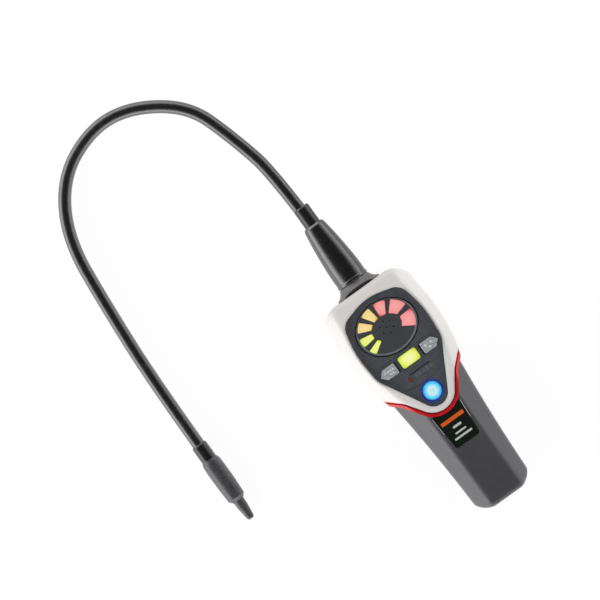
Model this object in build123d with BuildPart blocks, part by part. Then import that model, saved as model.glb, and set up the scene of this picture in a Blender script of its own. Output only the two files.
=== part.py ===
from build123d import *
from math import cos, degrees, radians, sin, tan
import os

# Handheld hydrogen leak detector with a gooseneck probe, in millimetres.
# It lies on its back: the back is at Z 0, the face looks up along +Z, and the head
# points along +Y. The origin is on the back, straight under the power button.

# Housing
WALL = 2.2
SEAM = 0.1
PARTING_Z = 24.0
HANDLE_END_Y = -86.1
HANDLE_WAIST_Y = -36.0
HANDLE_MOUTH_Y = 15.0
HANDLE_END_HALF = 21.1
HANDLE_WAIST_HALF = 23.3
HANDLE_MOUTH_HALF = 27.8
HANDLE_FRONT_Z = 44.0
HANDLE_RISE = 0.05
HANDLE_FLAT_HALF = 12.5
HANDLE_BEVEL_DROP = 13.0
HANDLE_BACK_INSET = 4.2
HANDLE_BACK_RISE = 8.0
HANDLE_CORNER = 13.5
HANDLE_RIM = 3.0
HANDLE_ROUNDING = [5.0, 7.0, 5.0, 3.5]
HEAD_TOP_Y = 81.8
HEAD_TOP_HALF = 32.4
HEAD_TOP_Z = 49.4
HEAD_WIDEST_Y = 50.0
HEAD_HALF = 34.5
HEAD_Z = 50.0
HEAD_CROWN_INSET = 7.0
HEAD_BEVEL_DROP = 12.0
HEAD_BACK_INSET = 9.0
HEAD_BACK_RISE = 10.0
HEAD_CORNER = 14.0
HEAD_RIM = 5.0
HEAD_ROUNDING = [6.0, 10.0, 7.0, 5.0]
HEAD_LOW_Y = -22.0
HEAD_LOW_Z = 48.0
HEAD_SEAM_Z = 49.0
HEAD_SHOULDER_Y = 28.0
HEAD_SHOULDER_HALF = 33.6
HEAD_SHOULDER_Z = 49.6
HEAD_SEAM_HALF = 30.5
HEAD_BACK_DIP = 4.4
BACK_SINK = 0.3
END_CLEARANCE = 0.1
REACH = 5.0

# White lip and red trim, as seen on the face
VEE_TIP_Y = -14.5
VEE_TIP_HALF = 7.7
VEE_KNEE_HALF = 20.2
VEE_KNEE_Y = 3.6
VEE_WING_HALF = 45.0
VEE_WING_SLOPE = 0.88
VEE_TIP_RADIUS = 14.4
VEE_KNEE_RADIUS = 14.0
TRIM_WIDTH = 2.9
TRIM_SINK = 1.2
TRIM_GROOVE = 1.2
TRIM_GROOVE_DEPTH = 1.5
TRIM_SIDE_TOP_Y = 4.0
TRIM_SIDE_TOP_Z = 40.0
HEAD_SEAM_Y = VEE_KNEE_Y + VEE_WING_SLOPE * (HEAD_SEAM_HALF - VEE_KNEE_HALF)

# Control panel
PANEL_FACE_Z = 47.0
PANEL_THICKNESS = 2.0
PANEL_APEX_Y = 75.0
PANEL_SHOULDER = (22.9, 68.7)
PANEL_SIDE = (27.3, 47.8)
PANEL_KNEE = (25.7, 25.7)
PANEL_TIP_HALF = 5.6
PANEL_TIP_Y = -10.5
PANEL_ROUNDING = (0.42, 0.28, 0.45, 0.16, 0.49)
PANEL_GAP = 0.15
SEAT_WALL = 1.8
SEAT_LEDGE = 1.0
SEAT_THICKNESS = 1.5
PANEL_EDGE = 0.4

# Dial
DIAL_Y = 51.3
DIAL_HALF_X = 21.5
DIAL_HALF_Y = 17.8
DIAL_GROOVE = 0.7
DIAL_FLANGE = 1.2
DIAL_RIM = 0.7
DIAL_RIM_HEIGHT = 0.4
SEGMENT_COUNT = 7
SEGMENT_OUTER = (20.0, 17.2)
SEGMENT_INNER = (10.9, 7.9)
SEGMENT_FIRST_ANGLE = 213.7
SEGMENT_FIRST_SPAN = 14.3
SEGMENT_GROWTH = 3.5
SEGMENT_GAP = 12.0
SEGMENT_DEPTH = 1.8
SEGMENT_PROUD = 0.25
SEGMENT_CORNER = 0.5
SEGMENT_EDGE = 0.2
SPEAKER_HOLE_RADIUS = 0.5
SPEAKER_HOLE_RING = 4.5

# Keys and lamp
KEY_ROW_Y = 25.9
KEY_HEIGHT = 7.6
SIDE_KEY_INNER = 10.5
SIDE_KEY_SHOULDER = 19.4
SIDE_KEY_POINT = 23.0
CENTRE_KEY_WIDTH = 13.6
CENTRE_KEY_HEIGHT = 8.2
CENTRE_KEY_LIFT = 0.3
KEY_SLOT_WIDTH = 1.4
KEY_SLOT_DEPTH = 1.3
KEY_PROUD = 0.9
KEY_TRAVEL = 0.8
KEY_GAP = 0.2
KEY_FLANGE = 0.8
KEY_FLANGE_THICKNESS = 1.0
KEY_WELL_GAP = 0.5
KEY_EDGE = 0.5
POWER_RADIUS = 6.2
POWER_RING = 3.6
STATUS_LED_RADIUS = 1.3
STATUS_LED_X = -7.6
STATUS_LED_Y = 13.9
STATUS_LED_PROUD = 0.5
STATUS_LED_FOOT = 0.3
GROOVE_WIDTH = 0.5
GROOVE_DEPTH = 0.35
KEY_LINE_Y = 31.5
MARK_LINE_X = 3.7
MARK_LINE_Y = 16.8
MARK_LINE_LENGTH = 12.0
MARKS_END_X = 12.0
ARC_GROOVES = 5
ARC_GROOVE_FIRST = 35.0
ARC_GROOVE_PITCH = 2.2

# Name plate
PLATE_TOP_Y = -15.0
PLATE_LENGTH = 26.0
PLATE_TOP_HALF = 11.2
PLATE_END_HALF = 9.7
PLATE_THICKNESS = 0.9
PLATE_PROUD = 0.2
PLATE_CORNER = 2.5

# Electronics
BOARD_TOP_Z = 40.0
BOARD_THICKNESS = 1.6
BOARD_INSET = 2.6
BOARD_EAR_HALF = 30.0
BOARD_EAR_LOW_Y = 33.0
BOARD_EAR_HIGH_Y = 61.0
BOARD_SCREW_X = 28.0
BOARD_SCREW_LOW_Y = 38.0
BOARD_SCREW_HIGH_Y = 56.0
BOARD_BOSS_RADIUS = 2.4
BOARD_SCREW_RADIUS = 1.0
BOARD_SCREW_HEAD = 1.4
BOARD_SCREW_LENGTH = 6.0
BOARD_SCREW_TOP_Z = 45.0
SWITCH_SIZE = 5.0
SWITCH_HEIGHT = 1.6
SWITCH_PLUNGER_RADIUS = 1.4
LAMP_SIZE = 2.4
LAMP_HEIGHT = 1.0
SPEAKER_RADIUS = 7.2
SPEAKER_HEIGHT = 3.2
SPEAKER_RIM = 1.0
SPEAKER_DEPTH = 0.8

# Housing screws
SCREW_RADIUS = 1.4
SCREW_HEAD_RADIUS = 2.6
SCREW_HEAD_HEIGHT = 1.8
SCREW_HEAD_Z = 1.4
SCREW_LENGTH = 32.0
RECESS_LENGTH = 3.4
RECESS_WIDTH = 0.7
RECESS_DEPTH = 0.7
POST_RADIUS = 3.2
REAR_POST_RADIUS = 4.0
SCREW_GAP = 0.15
HEAD_SCREWS_HIGH = (21.5, 69.0)
HEAD_SCREWS_LOW = (18.5, 16.5)
HANDLE_SCREWS = (17.6, -10.0)

# Battery bay
CELL_RADIUS = 7.1
CELL_LENGTH = 49.2
CELL_NUB_RADIUS = 2.7
CELL_NUB = 1.3
CELL_GAP = 0.2
HOLDER_WALL = 1.2
HOLDER_END_Y = -79.0
HOLDER_CHAMFER = 3.0
HOLDER_RIB_INSET = 10.0
LEAF_DEPTH = 3.2
LEAF_WIDTH = 6.0
CONTACT_THICKNESS = 0.4
DOOR_TOP_Y = -19.5
DOOR_HALF = 15.0
DOOR_THICKNESS = 2.4
DOOR_RECESS = 0.2
DOOR_TONGUE = 1.4
DOOR_TONGUE_THICKNESS = 1.2
DOOR_GAP = 0.2
DOOR_GRIPS = 5
DOOR_GRIP_PITCH = 2.2
DOOR_GRIP_WIDTH = 0.9
DOOR_GRIP_DEPTH = 0.5
DOOR_GRIP_INSET = 5.0
RAIL_THICKNESS = 1.4
RIB_THICKNESS = 1.6

# Probe
PROBE_Z = 24.0
COLLAR_BASE_RADIUS = 16.5
COLLAR_NECK_RADIUS = 11.4
COLLAR_LENGTH = 6.0
COLLAR_EDGE = 0.8
COLLAR_NOTCH_HALF = 11.5
COLLAR_NOTCH_RISE = 2.2
COLLAR_NOTCH_Z = 8.6
SPIGOT_RADIUS = 7.8
NUT_ACROSS_FLATS = 19.0
NUT_THICKNESS = 5.0
BOOT_LENGTH = 46.3
BOOT_BASE_RADIUS = 11.3
BOOT_TIP_RADIUS = 7.6
FERRULE_LENGTH = 14.0
FERRULE_RADIUS = 5.6
NECK_RADIUS = 4.4
NECK_BORE = 2.2
LEAD_RADIUS = 1.6
LEAD_EXTRA = 2.0
NECK_INSERT = 4.0
BEND_SHARE = 0.45
TIP_X = -146.8
HOLDER_TOP_Y = 48.0
HOLDER_TIP_Y = 14.8
HOLDER_RADIUS = 6.75
HOLDER_BORE = 5.2
HOLDER_END_WALL = 2.5
UPPER_FERRULE_LENGTH = 12.2
UPPER_FERRULE_RADIUS = 5.4
NOZZLE_TIP_Y = -0.2
NOZZLE_ROOT_RADIUS = 3.9
NOZZLE_TIP_RADIUS = 2.5
NOZZLE_BORE = 1.4
NOZZLE_PLUG_RADIUS = 3.0
NOZZLE_PLUG_LENGTH = 7.0
SENSOR_RADIUS = 4.6
SENSOR_LENGTH = 7.0
SOCKET_LENGTH = 5.0
FIT = 0.15

TALL = HEAD_Z + 2 * REACH
UPWARDS = (Align.CENTER, Align.CENTER, Align.MIN)
DOWNWARDS = (Align.CENTER, Align.CENTER, Align.MAX)

os.makedirs("parts", exist_ok=True)


def save(part, label):
    """Name a finished piece and write it as its own file."""
    part.label = label
    export_step(part, f"parts/{label}.step")


# Forms of the housing
def handle_front(y):
    """Height of the handle's flat front at a place along it."""
    return HANDLE_FRONT_Z + HANDLE_RISE * (y - HANDLE_WAIST_Y)


def section(y, corners, radii, inset):
    """One closed section across the housing; the radii of its right corners serve both sides."""
    with BuildSketch(Plane.XZ.offset(-y)) as outline:
        with BuildLine():
            FilletPolyline(*corners, radius=radii + radii[::-1], close=True)
        make_face()
        if inset:
            offset(amount=-inset)
    return outline.sketch


def eight_corners(half, front, flat, drop, back_inset, back_rise):
    """Corners of a section: front, bevelled sides, and a back that is later cut flat at Z 0."""
    right = [(flat, front), (half, front - drop), (half, back_rise), (half - back_inset, -BACK_SINK)]
    left = [(-x, z) for x, z in reversed(right)]
    return right + left


def handle_section(y, half, inset):
    corners = eight_corners(
        half, handle_front(y), HANDLE_FLAT_HALF, HANDLE_BEVEL_DROP, HANDLE_BACK_INSET, HANDLE_BACK_RISE
    )
    return section(y, corners, HANDLE_ROUNDING, inset)


def head_section(y, half, front, inset):
    corners = eight_corners(
        half, front, half - HEAD_CROWN_INSET, HEAD_BEVEL_DROP, HEAD_BACK_INSET, HEAD_BACK_RISE
    )
    return section(y, corners, HEAD_ROUNDING, inset)


def plan_corners(end_half, end_y, mouth_half, mouth_y, radius):
    """Outline on the face that rounds the two corners of a closed end."""
    with BuildSketch() as outline:
        with BuildLine():
            side = FilletPolyline(
                (-mouth_half, mouth_y), (-end_half, end_y), (end_half, end_y), (mouth_half, mouth_y),
                radius=radius,
            )
            Line(side @ 1, side @ 0)
        make_face()
    return outline.sketch


def handle_form(inset=0.0):
    """The grip as one solid, open towards the head and closed at its end."""
    end_y = HANDLE_END_Y + inset
    stations = [
        (end_y, HANDLE_END_HALF),
        (HANDLE_WAIST_Y, HANDLE_WAIST_HALF),
        (HANDLE_MOUTH_Y, HANDLE_MOUTH_HALF),
    ]
    with BuildPart() as form:
        loft(sections=[handle_section(y, half, inset) for y, half in stations])
        plan = plan_corners(
            HANDLE_END_HALF + END_CLEARANCE - inset, end_y,
            HANDLE_MOUTH_HALF + REACH, HANDLE_MOUTH_Y + REACH, HANDLE_CORNER - inset,
        )
        add(extrude(plan, amount=HEAD_Z, mode=Mode.PRIVATE), mode=Mode.INTERSECT)
        if not inset:
            fillet(form.faces().sort_by(Axis.Y)[0].edges(), radius=HANDLE_RIM)
    return form.part


def head_form(inset=0.0, sink=0.0):
    """The head as one solid, closed at its top, with its front lowered by sink."""
    top_y = HEAD_TOP_Y - inset
    stations = [
        (HEAD_LOW_Y, HANDLE_END_HALF, HEAD_LOW_Z),
        (HEAD_SEAM_Y, HEAD_SEAM_HALF, HEAD_SEAM_Z),
        (HEAD_SHOULDER_Y, HEAD_SHOULDER_HALF, HEAD_SHOULDER_Z),
        (HEAD_WIDEST_Y, HEAD_HALF, HEAD_Z),
        (top_y, HEAD_TOP_HALF, HEAD_TOP_Z),
    ]
    with BuildPart() as form:
        loft(sections=[head_section(y, half, front - sink, inset) for y, half, front in stations])
        plan = plan_corners(
            HEAD_TOP_HALF + END_CLEARANCE - inset, top_y,
            HEAD_HALF + REACH, VEE_TIP_Y - 2 * REACH, HEAD_CORNER - inset,
        )
        add(extrude(plan, amount=TALL, mode=Mode.PRIVATE), mode=Mode.INTERSECT)
        if not inset and not sink:
            fillet(form.faces().sort_by(Axis.Y)[-1].edges(), radius=HEAD_RIM)
    return form.part


def vee_region(grow=0.0):
    """Everything on the head's side of the V, grown outwards across the V."""
    wing_y = VEE_KNEE_Y + VEE_WING_SLOPE * (VEE_WING_HALF - VEE_KNEE_HALF)
    far_y = HEAD_TOP_Y + 2 * REACH
    with BuildSketch() as region:
        with BuildLine():
            edge = FilletPolyline(
                (-VEE_WING_HALF, wing_y),
                (-VEE_KNEE_HALF, VEE_KNEE_Y),
                (-VEE_TIP_HALF, VEE_TIP_Y),
                (VEE_TIP_HALF, VEE_TIP_Y),
                (VEE_KNEE_HALF, VEE_KNEE_Y),
                (VEE_WING_HALF, wing_y),
                radius=[VEE_KNEE_RADIUS, VEE_TIP_RADIUS, VEE_TIP_RADIUS, VEE_KNEE_RADIUS],
            )
            Polyline(edge @ 1, (VEE_WING_HALF, far_y), (-VEE_WING_HALF, far_y), edge @ 0)
        make_face()
        if grow:
            offset(amount=grow, kind=Kind.INTERSECTION)
    return region.sketch


def rounded(points, shares, grow=0.0):
    """A convex outline, each corner rounded by its share of the shorter side, then grown."""
    corners = [Vector(*point) for point in points]
    radii = []
    moved = []
    neighbours = zip(corners[-1:] + corners[:-1], corners, corners[1:] + corners[:1])
    for share, (before, corner, after) in zip(shares, neighbours):
        side_in = corner - before
        side_out = after - corner
        half_turn = radians(side_in.get_angle(side_out)) / 2
        outwards = (side_in.normalized() - side_out.normalized()).normalized()
        radii.append(share * min(side_in.length, side_out.length) / tan(half_turn) + grow)
        moved.append(corner + outwards * (grow / cos(half_turn)))
    with BuildSketch() as outline:
        with BuildLine():
            FilletPolyline(*moved, radius=radii, close=True)
        make_face()
    return outline.sketch


def panel_outline(grow=0.0):
    """Outline of the control panel, grown or drawn in all round."""
    right = [PANEL_SHOULDER, PANEL_SIDE, PANEL_KNEE, (PANEL_TIP_HALF, PANEL_TIP_Y)]
    left = [(-x, y) for x, y in reversed(right)]
    shares = PANEL_ROUNDING + PANEL_ROUNDING[:0:-1]
    return rounded([(0, PANEL_APEX_Y)] + right + left, shares, grow)


def rear_region(grow=0.0):
    """Everything on the head's side of the seam across the back."""
    wide = HEAD_HALF + 2 * REACH
    far_y = HEAD_TOP_Y + 2 * REACH
    seam_y = HEAD_SEAM_Y - grow
    with BuildSketch() as region:
        with BuildLine():
            dip = ThreePointArc(
                (-HEAD_SEAM_HALF, seam_y), (0, seam_y - HEAD_BACK_DIP), (HEAD_SEAM_HALF, seam_y)
            )
            Polyline(dip @ 1, (wide, seam_y), (wide, far_y), (-wide, far_y), (-wide, seam_y), dip @ 0)
        make_face()
    return region.sketch


def ellipse(half_x, half_y):
    """An ellipse about the dial's centre."""
    with BuildSketch() as outline:
        with Locations((0, DIAL_Y)):
            Ellipse(half_x, half_y)
    return outline.sketch


def side_key(grow=0.0):
    """Outline of the right key, pointed at its outer end."""
    low = KEY_ROW_Y - KEY_HEIGHT / 2
    high = KEY_ROW_Y + KEY_HEIGHT / 2
    with BuildSketch() as outline:
        with BuildLine():
            FilletPolyline(
                (SIDE_KEY_INNER, low), (SIDE_KEY_SHOULDER, low), (SIDE_KEY_POINT, KEY_ROW_Y),
                (SIDE_KEY_SHOULDER, high), (SIDE_KEY_INNER, high),
                radius=[0.8, 1.2, 0.8, 1.2, 0.8], close=True,
            )
        make_face()
        if grow:
            offset(amount=grow)
    return outline.sketch


def centre_key(grow=0.0):
    """Outline of the lit key in the middle of the row."""
    with BuildSketch() as outline:
        with Locations((0, KEY_ROW_Y + CENTRE_KEY_LIFT)):
            RectangleRounded(CENTRE_KEY_WIDTH + 2 * grow, CENTRE_KEY_HEIGHT + 2 * grow, 1.4 + grow)
    return outline.sketch


def power_disc(grow=0.0):
    """Outline of the round power button."""
    with BuildSketch() as outline:
        Circle(POWER_RADIUS + grow)
    return outline.sketch


def plate_outline(grow=0.0):
    """Outline of the name plate in its own plane, narrower at its lower end."""
    with BuildSketch() as outline:
        with BuildLine():
            FilletPolyline(
                (-PLATE_TOP_HALF, PLATE_LENGTH / 2), (-PLATE_END_HALF, -PLATE_LENGTH / 2),
                (PLATE_END_HALF, -PLATE_LENGTH / 2), (PLATE_TOP_HALF, PLATE_LENGTH / 2),
                radius=[0.5, PLATE_CORNER, PLATE_CORNER, 0.5], close=True,
            )
        make_face()
        if grow:
            offset(amount=grow)
    return outline.sketch


def plate_plane(height):
    """Plane along the sloping front of the handle, at the name plate's middle."""
    middle = PLATE_TOP_Y - PLATE_LENGTH / 2
    front = Plane(origin=(0, middle, handle_front(middle)), x_dir=(1, 0, 0), z_dir=(0, -HANDLE_RISE, 1))
    return front.offset(height)


def door_prism(gap=0.0):
    """The battery door's constant section, with a tongue along each side."""
    half = DOOR_HALF + gap
    tongue = DOOR_HALF + DOOR_TONGUE + gap
    low = DOOR_RECESS if not gap else -1
    with BuildPart() as prism:
        with BuildSketch(Plane.XZ.offset(-DOOR_TOP_Y - gap)):
            with BuildLine():
                Polyline(
                    (-half, low), (-half, DOOR_TONGUE_Z - gap), (-tongue, DOOR_TONGUE_Z - gap),
                    (-tongue, DOOR_BACK_Z + gap), (tongue, DOOR_BACK_Z + gap), (tongue, DOOR_TONGUE_Z - gap),
                    (half, DOOR_TONGUE_Z - gap), (half, low), close=True,
                )
            make_face()
        extrude(amount=DOOR_LENGTH + 5)
    return prism.part


def segment_angles(index):
    """First and last angle of a lit segment, counted clockwise from the lower left."""
    spans = [SEGMENT_FIRST_SPAN + SEGMENT_GROWTH * turn for turn in range(index + 1)]
    start = SEGMENT_FIRST_ANGLE - sum(spans[:-1]) - SEGMENT_GAP * index
    return start, start - spans[-1]


def segment_outline(index, grow=0.0):
    """Outline of one lit segment between the dial's two ellipses."""
    start, end = segment_angles(index)
    wider = degrees(2 * grow / (SEGMENT_OUTER[0] + SEGMENT_INNER[1]))
    edges = (start + wider, (start + end) / 2, end - wider)
    reach = 2 * DIAL_HALF_X
    with BuildSketch() as outline:
        with Locations((0, DIAL_Y)):
            Ellipse(SEGMENT_OUTER[0] + grow, SEGMENT_OUTER[1] + grow)
            Ellipse(SEGMENT_INNER[0] - grow, SEGMENT_INNER[1] - grow, mode=Mode.SUBTRACT)
        with BuildLine():
            Polyline(
                (0, DIAL_Y),
                *[(reach * cos(radians(edge)), DIAL_Y + reach * sin(radians(edge))) for edge in edges],
                close=True,
            )
        make_face(mode=Mode.INTERSECT)
    return outline.sketch


def segment_middle(index):
    """Place under the middle of a lit segment."""
    angle = radians(sum(segment_angles(index)) / 2)
    return (
        (SEGMENT_OUTER[0] + SEGMENT_INNER[0]) / 2 * cos(angle),
        DIAL_Y + (SEGMENT_OUTER[1] + SEGMENT_INNER[1]) / 2 * sin(angle),
    )


def mirrored(points):
    """Points on the right with their mirror images on the left."""
    return [(side * x, y) for x, y in points for side in (1, -1)]


def at_height(points, z):
    return [(x, y, z) for x, y in points]


# Heights and places that several pieces share
PANEL_BACK_Z = PANEL_FACE_Z - PANEL_THICKNESS
SEAT_Z = PANEL_BACK_Z - SEAT_THICKNESS
FLANGE_Z = PANEL_BACK_Z - 0.1
KEY_FLANGE_Z = FLANGE_Z - KEY_FLANGE_THICKNESS
BOARD_BACK_Z = BOARD_TOP_Z - BOARD_THICKNESS
HEAD_SCREWS = mirrored([HEAD_SCREWS_HIGH, HEAD_SCREWS_LOW])
GRIP_SCREWS = mirrored([HANDLE_SCREWS])
BOARD_SCREWS = mirrored([(BOARD_SCREW_X, BOARD_SCREW_LOW_Y), (BOARD_SCREW_X, BOARD_SCREW_HIGH_Y)])
DOOR_TONGUE_Z = DOOR_RECESS + DOOR_THICKNESS - DOOR_TONGUE_THICKNESS
DOOR_BACK_Z = DOOR_RECESS + DOOR_THICKNESS
DOOR_LENGTH = DOOR_TOP_Y - HANDLE_END_Y
CELL_X = CELL_RADIUS + CELL_GAP / 2
CELL_LOW_Z = DOOR_BACK_Z + 0.5 + CELL_RADIUS
CELL_HIGH_Z = CELL_LOW_Z + 2 * CELL_RADIUS + CELL_GAP
HOLDER_HALF = CELL_X + CELL_RADIUS + CELL_GAP + HOLDER_WALL
HOLDER_FRONT_Z = CELL_HIGH_Z + CELL_RADIUS + CELL_GAP + HOLDER_WALL
HOLDER_LENGTH = 2 * HOLDER_WALL + LEAF_DEPTH + CELL_LENGTH + CELL_NUB + CONTACT_THICKNESS + CELL_GAP
HOLDER_TOP_END_Y = HOLDER_END_Y + HOLDER_LENGTH
HOLDER_BACK_Z = DOOR_BACK_Z + DOOR_GAP + RAIL_THICKNESS + SEAM
CELL_PLACES = [(side * CELL_X, z) for z in (CELL_LOW_Z, CELL_HIGH_Z) for side in (-1, 1)]

head_outer = head_form()
head_inner = head_form(WALL)
handle_outer = handle_form()
handle_inner = handle_form(WALL)


# White head, front half: what stands in its cavity is taken out of the cavity first
with BuildPart() as head_front_cavity:
    add(head_inner)
    with BuildSketch(Plane.XY.offset(SEAT_Z)):
        add(panel_outline(SEAT_WALL))
    extrude(amount=TALL, mode=Mode.SUBTRACT)
    with Locations(*at_height(BOARD_SCREWS, BOARD_TOP_Z)):
        Cylinder(BOARD_BOSS_RADIUS, TALL, align=UPWARDS, mode=Mode.SUBTRACT)
    with Locations(*at_height(HEAD_SCREWS, 0)):
        Cylinder(POST_RADIUS, TALL, align=UPWARDS, mode=Mode.SUBTRACT)

with BuildPart() as front_shell:
    add(head_outer)
    add(head_front_cavity.part, mode=Mode.SUBTRACT)
    with BuildSketch(Plane.XY.offset(PARTING_Z + SEAM / 2)):
        add(vee_region())
    extrude(amount=TALL, mode=Mode.INTERSECT)
    with BuildSketch(Plane.XY.offset(PANEL_BACK_Z)):
        add(panel_outline(PANEL_GAP))
    extrude(amount=TALL, mode=Mode.SUBTRACT)
    with BuildSketch(Plane.XY.offset(SEAT_Z - 1)):
        add(panel_outline(-SEAT_LEDGE))
        add(side_key(KEY_WELL_GAP))
        mirror(side_key(KEY_WELL_GAP), about=Plane.YZ)
    extrude(amount=TALL, mode=Mode.SUBTRACT)
    with Locations(*at_height(HEAD_SCREWS, 0)):
        Cylinder(
            SCREW_RADIUS + SEAM, SCREW_HEAD_Z + SCREW_LENGTH + 1,
            align=UPWARDS, mode=Mode.SUBTRACT,
        )
    with Locations(*at_height(BOARD_SCREWS, 0)):
        Cylinder(BOARD_SCREW_RADIUS + SEAM, BOARD_SCREW_TOP_Z, align=UPWARDS, mode=Mode.SUBTRACT)
    with BuildSketch(Plane.XZ.offset(-HEAD_TOP_Y - 1)):
        with Locations((0, PROBE_Z)):
            Circle(SPIGOT_RADIUS + FIT)
    extrude(amount=WALL + 3, mode=Mode.SUBTRACT)
save(front_shell.part, "front_shell")

with BuildPart() as head_rear_cavity:
    add(head_inner)
    with Locations(*at_height(HEAD_SCREWS, 0)):
        Cylinder(REAR_POST_RADIUS, TALL, align=UPWARDS, mode=Mode.SUBTRACT)

with BuildPart() as rear_shell:
    add(head_outer)
    add(head_rear_cavity.part, mode=Mode.SUBTRACT)
    with BuildSketch():
        add(rear_region())
    extrude(amount=PARTING_Z - SEAM / 2, mode=Mode.INTERSECT)
    with Locations(*at_height(HEAD_SCREWS, 0)):
        Cylinder(SCREW_RADIUS + SCREW_GAP, 3 * PARTING_Z, mode=Mode.SUBTRACT)
        Cylinder(SCREW_HEAD_RADIUS + SCREW_GAP, 2 * (SCREW_HEAD_Z + SCREW_HEAD_HEIGHT), mode=Mode.SUBTRACT)
    with BuildSketch(Plane.XZ.offset(-HEAD_TOP_Y - 1)):
        with Locations((0, PROBE_Z)):
            Circle(SPIGOT_RADIUS + FIT)
    extrude(amount=WALL + 3, mode=Mode.SUBTRACT)
save(rear_shell.part, "rear_shell")


# Grey grip
rib_places = (HOLDER_END_Y + HOLDER_RIB_INSET, HOLDER_TOP_END_Y - HOLDER_RIB_INSET)
with BuildPart() as handle_front_cavity:
    add(handle_inner)
    with Locations(*at_height(GRIP_SCREWS, 0)):
        Cylinder(POST_RADIUS, TALL, align=UPWARDS, mode=Mode.SUBTRACT)
    with Locations(*[(0, y, HOLDER_FRONT_Z + SEAM) for y in rib_places]):
        Box(
            2 * HANDLE_WAIST_HALF, RIB_THICKNESS, TALL,
            align=UPWARDS, mode=Mode.SUBTRACT,
        )

with BuildPart() as front_grip:
    add(handle_outer)
    add(handle_front_cavity.part, mode=Mode.SUBTRACT)
    split(bisect_by=Plane.XY.offset(PARTING_Z + SEAM / 2))
    with BuildSketch():
        add(vee_region(SEAM))
    extrude(amount=TALL, mode=Mode.SUBTRACT)
    with Locations(*at_height(GRIP_SCREWS, 0)):
        Cylinder(
            SCREW_RADIUS + SEAM, SCREW_HEAD_Z + SCREW_LENGTH + 1,
            align=UPWARDS, mode=Mode.SUBTRACT,
        )
    with BuildSketch(plate_plane(-PLATE_THICKNESS + PLATE_PROUD)):
        add(plate_outline(SEAM))
    extrude(amount=PLATE_THICKNESS * 2, mode=Mode.SUBTRACT)
save(front_grip.part, "front_grip")

with BuildPart() as handle_rear_cavity:
    add(handle_inner)
    with Locations(*at_height(GRIP_SCREWS, 0)):
        Cylinder(REAR_POST_RADIUS, TALL, align=UPWARDS, mode=Mode.SUBTRACT)
    for side in (-1, 1):
        with Locations((side * (DOOR_HALF + 0.6), DOOR_TOP_Y, DOOR_BACK_Z + DOOR_GAP)):
            Box(
                HANDLE_WAIST_HALF, DOOR_LENGTH, RAIL_THICKNESS,
                align=(Align.MIN if side > 0 else Align.MAX, Align.MAX, Align.MIN), mode=Mode.SUBTRACT,
            )

with BuildPart() as rear_grip:
    add(handle_outer)
    add(handle_rear_cavity.part, mode=Mode.SUBTRACT)
    split(bisect_by=Plane.XY.offset(PARTING_Z - SEAM / 2), keep=Keep.BOTTOM)
    with BuildSketch():
        add(rear_region(SEAM))
    extrude(amount=TALL, mode=Mode.SUBTRACT)
    add(door_prism(DOOR_GAP), mode=Mode.SUBTRACT)
    with Locations(*at_height(GRIP_SCREWS, 0)):
        Cylinder(SCREW_RADIUS + SCREW_GAP, 3 * PARTING_Z, mode=Mode.SUBTRACT)
        Cylinder(SCREW_HEAD_RADIUS + SCREW_GAP, 2 * (SCREW_HEAD_Z + SCREW_HEAD_HEIGHT), mode=Mode.SUBTRACT)
save(rear_grip.part, "rear_grip")

with BuildPart() as battery_door:
    add(door_prism())
    add(handle_outer, mode=Mode.INTERSECT)
    with Locations((0, DOOR_TOP_Y - DOOR_GRIP_INSET, DOOR_RECESS)):
        with GridLocations(1, DOOR_GRIP_PITCH, 1, DOOR_GRIPS):
            Box(DOOR_HALF, DOOR_GRIP_WIDTH, 2 * DOOR_GRIP_DEPTH, mode=Mode.SUBTRACT)
save(battery_door.part, "battery_door")


# Red trim: a low groove against the white lip and a bead outside it
with BuildPart() as trim_band:
    add(head_form(0.0, TRIM_SINK))
    with BuildSketch():
        add(vee_region(TRIM_WIDTH))
        add(vee_region(TRIM_GROOVE), mode=Mode.SUBTRACT)
    extrude(amount=TALL, mode=Mode.INTERSECT)
with BuildPart() as trim_groove:
    add(head_form(0.0, TRIM_SINK + TRIM_GROOVE_DEPTH))
    with BuildSketch():
        add(vee_region(TRIM_GROOVE))
        add(vee_region(SEAM), mode=Mode.SUBTRACT)
    extrude(amount=TALL, mode=Mode.INTERSECT)
with trim_band:
    add(trim_groove.part)
    split(bisect_by=Plane.XY.offset(PARTING_Z + SEAM / 2))
    add(handle_outer, mode=Mode.SUBTRACT)
    with BuildSketch(Plane.YZ):
        with BuildLine():
            Polyline(
                (TRIM_SIDE_TOP_Y, TRIM_SIDE_TOP_Z), (HEAD_SEAM_Y + 2, PARTING_Z - 2),
                (VEE_TIP_Y - 20, PARTING_Z - 2), (VEE_TIP_Y - 20, TRIM_SIDE_TOP_Z), close=True,
            )
        make_face()
    extrude(amount=HEAD_HALF + 5, both=True, mode=Mode.SUBTRACT)
save(trim_band.part, "trim_band")

with BuildPart() as name_plate:
    with BuildSketch(plate_plane(-PLATE_THICKNESS + PLATE_PROUD)):
        add(plate_outline())
    extrude(amount=PLATE_THICKNESS)
    chamfer(name_plate.faces().sort_by(Axis.Z)[-1].edges(), length=0.2)
    with BuildSketch():
        add(vee_region(TRIM_WIDTH + SEAM))
    extrude(amount=TALL, mode=Mode.SUBTRACT)
save(name_plate.part, "name_plate")


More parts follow.
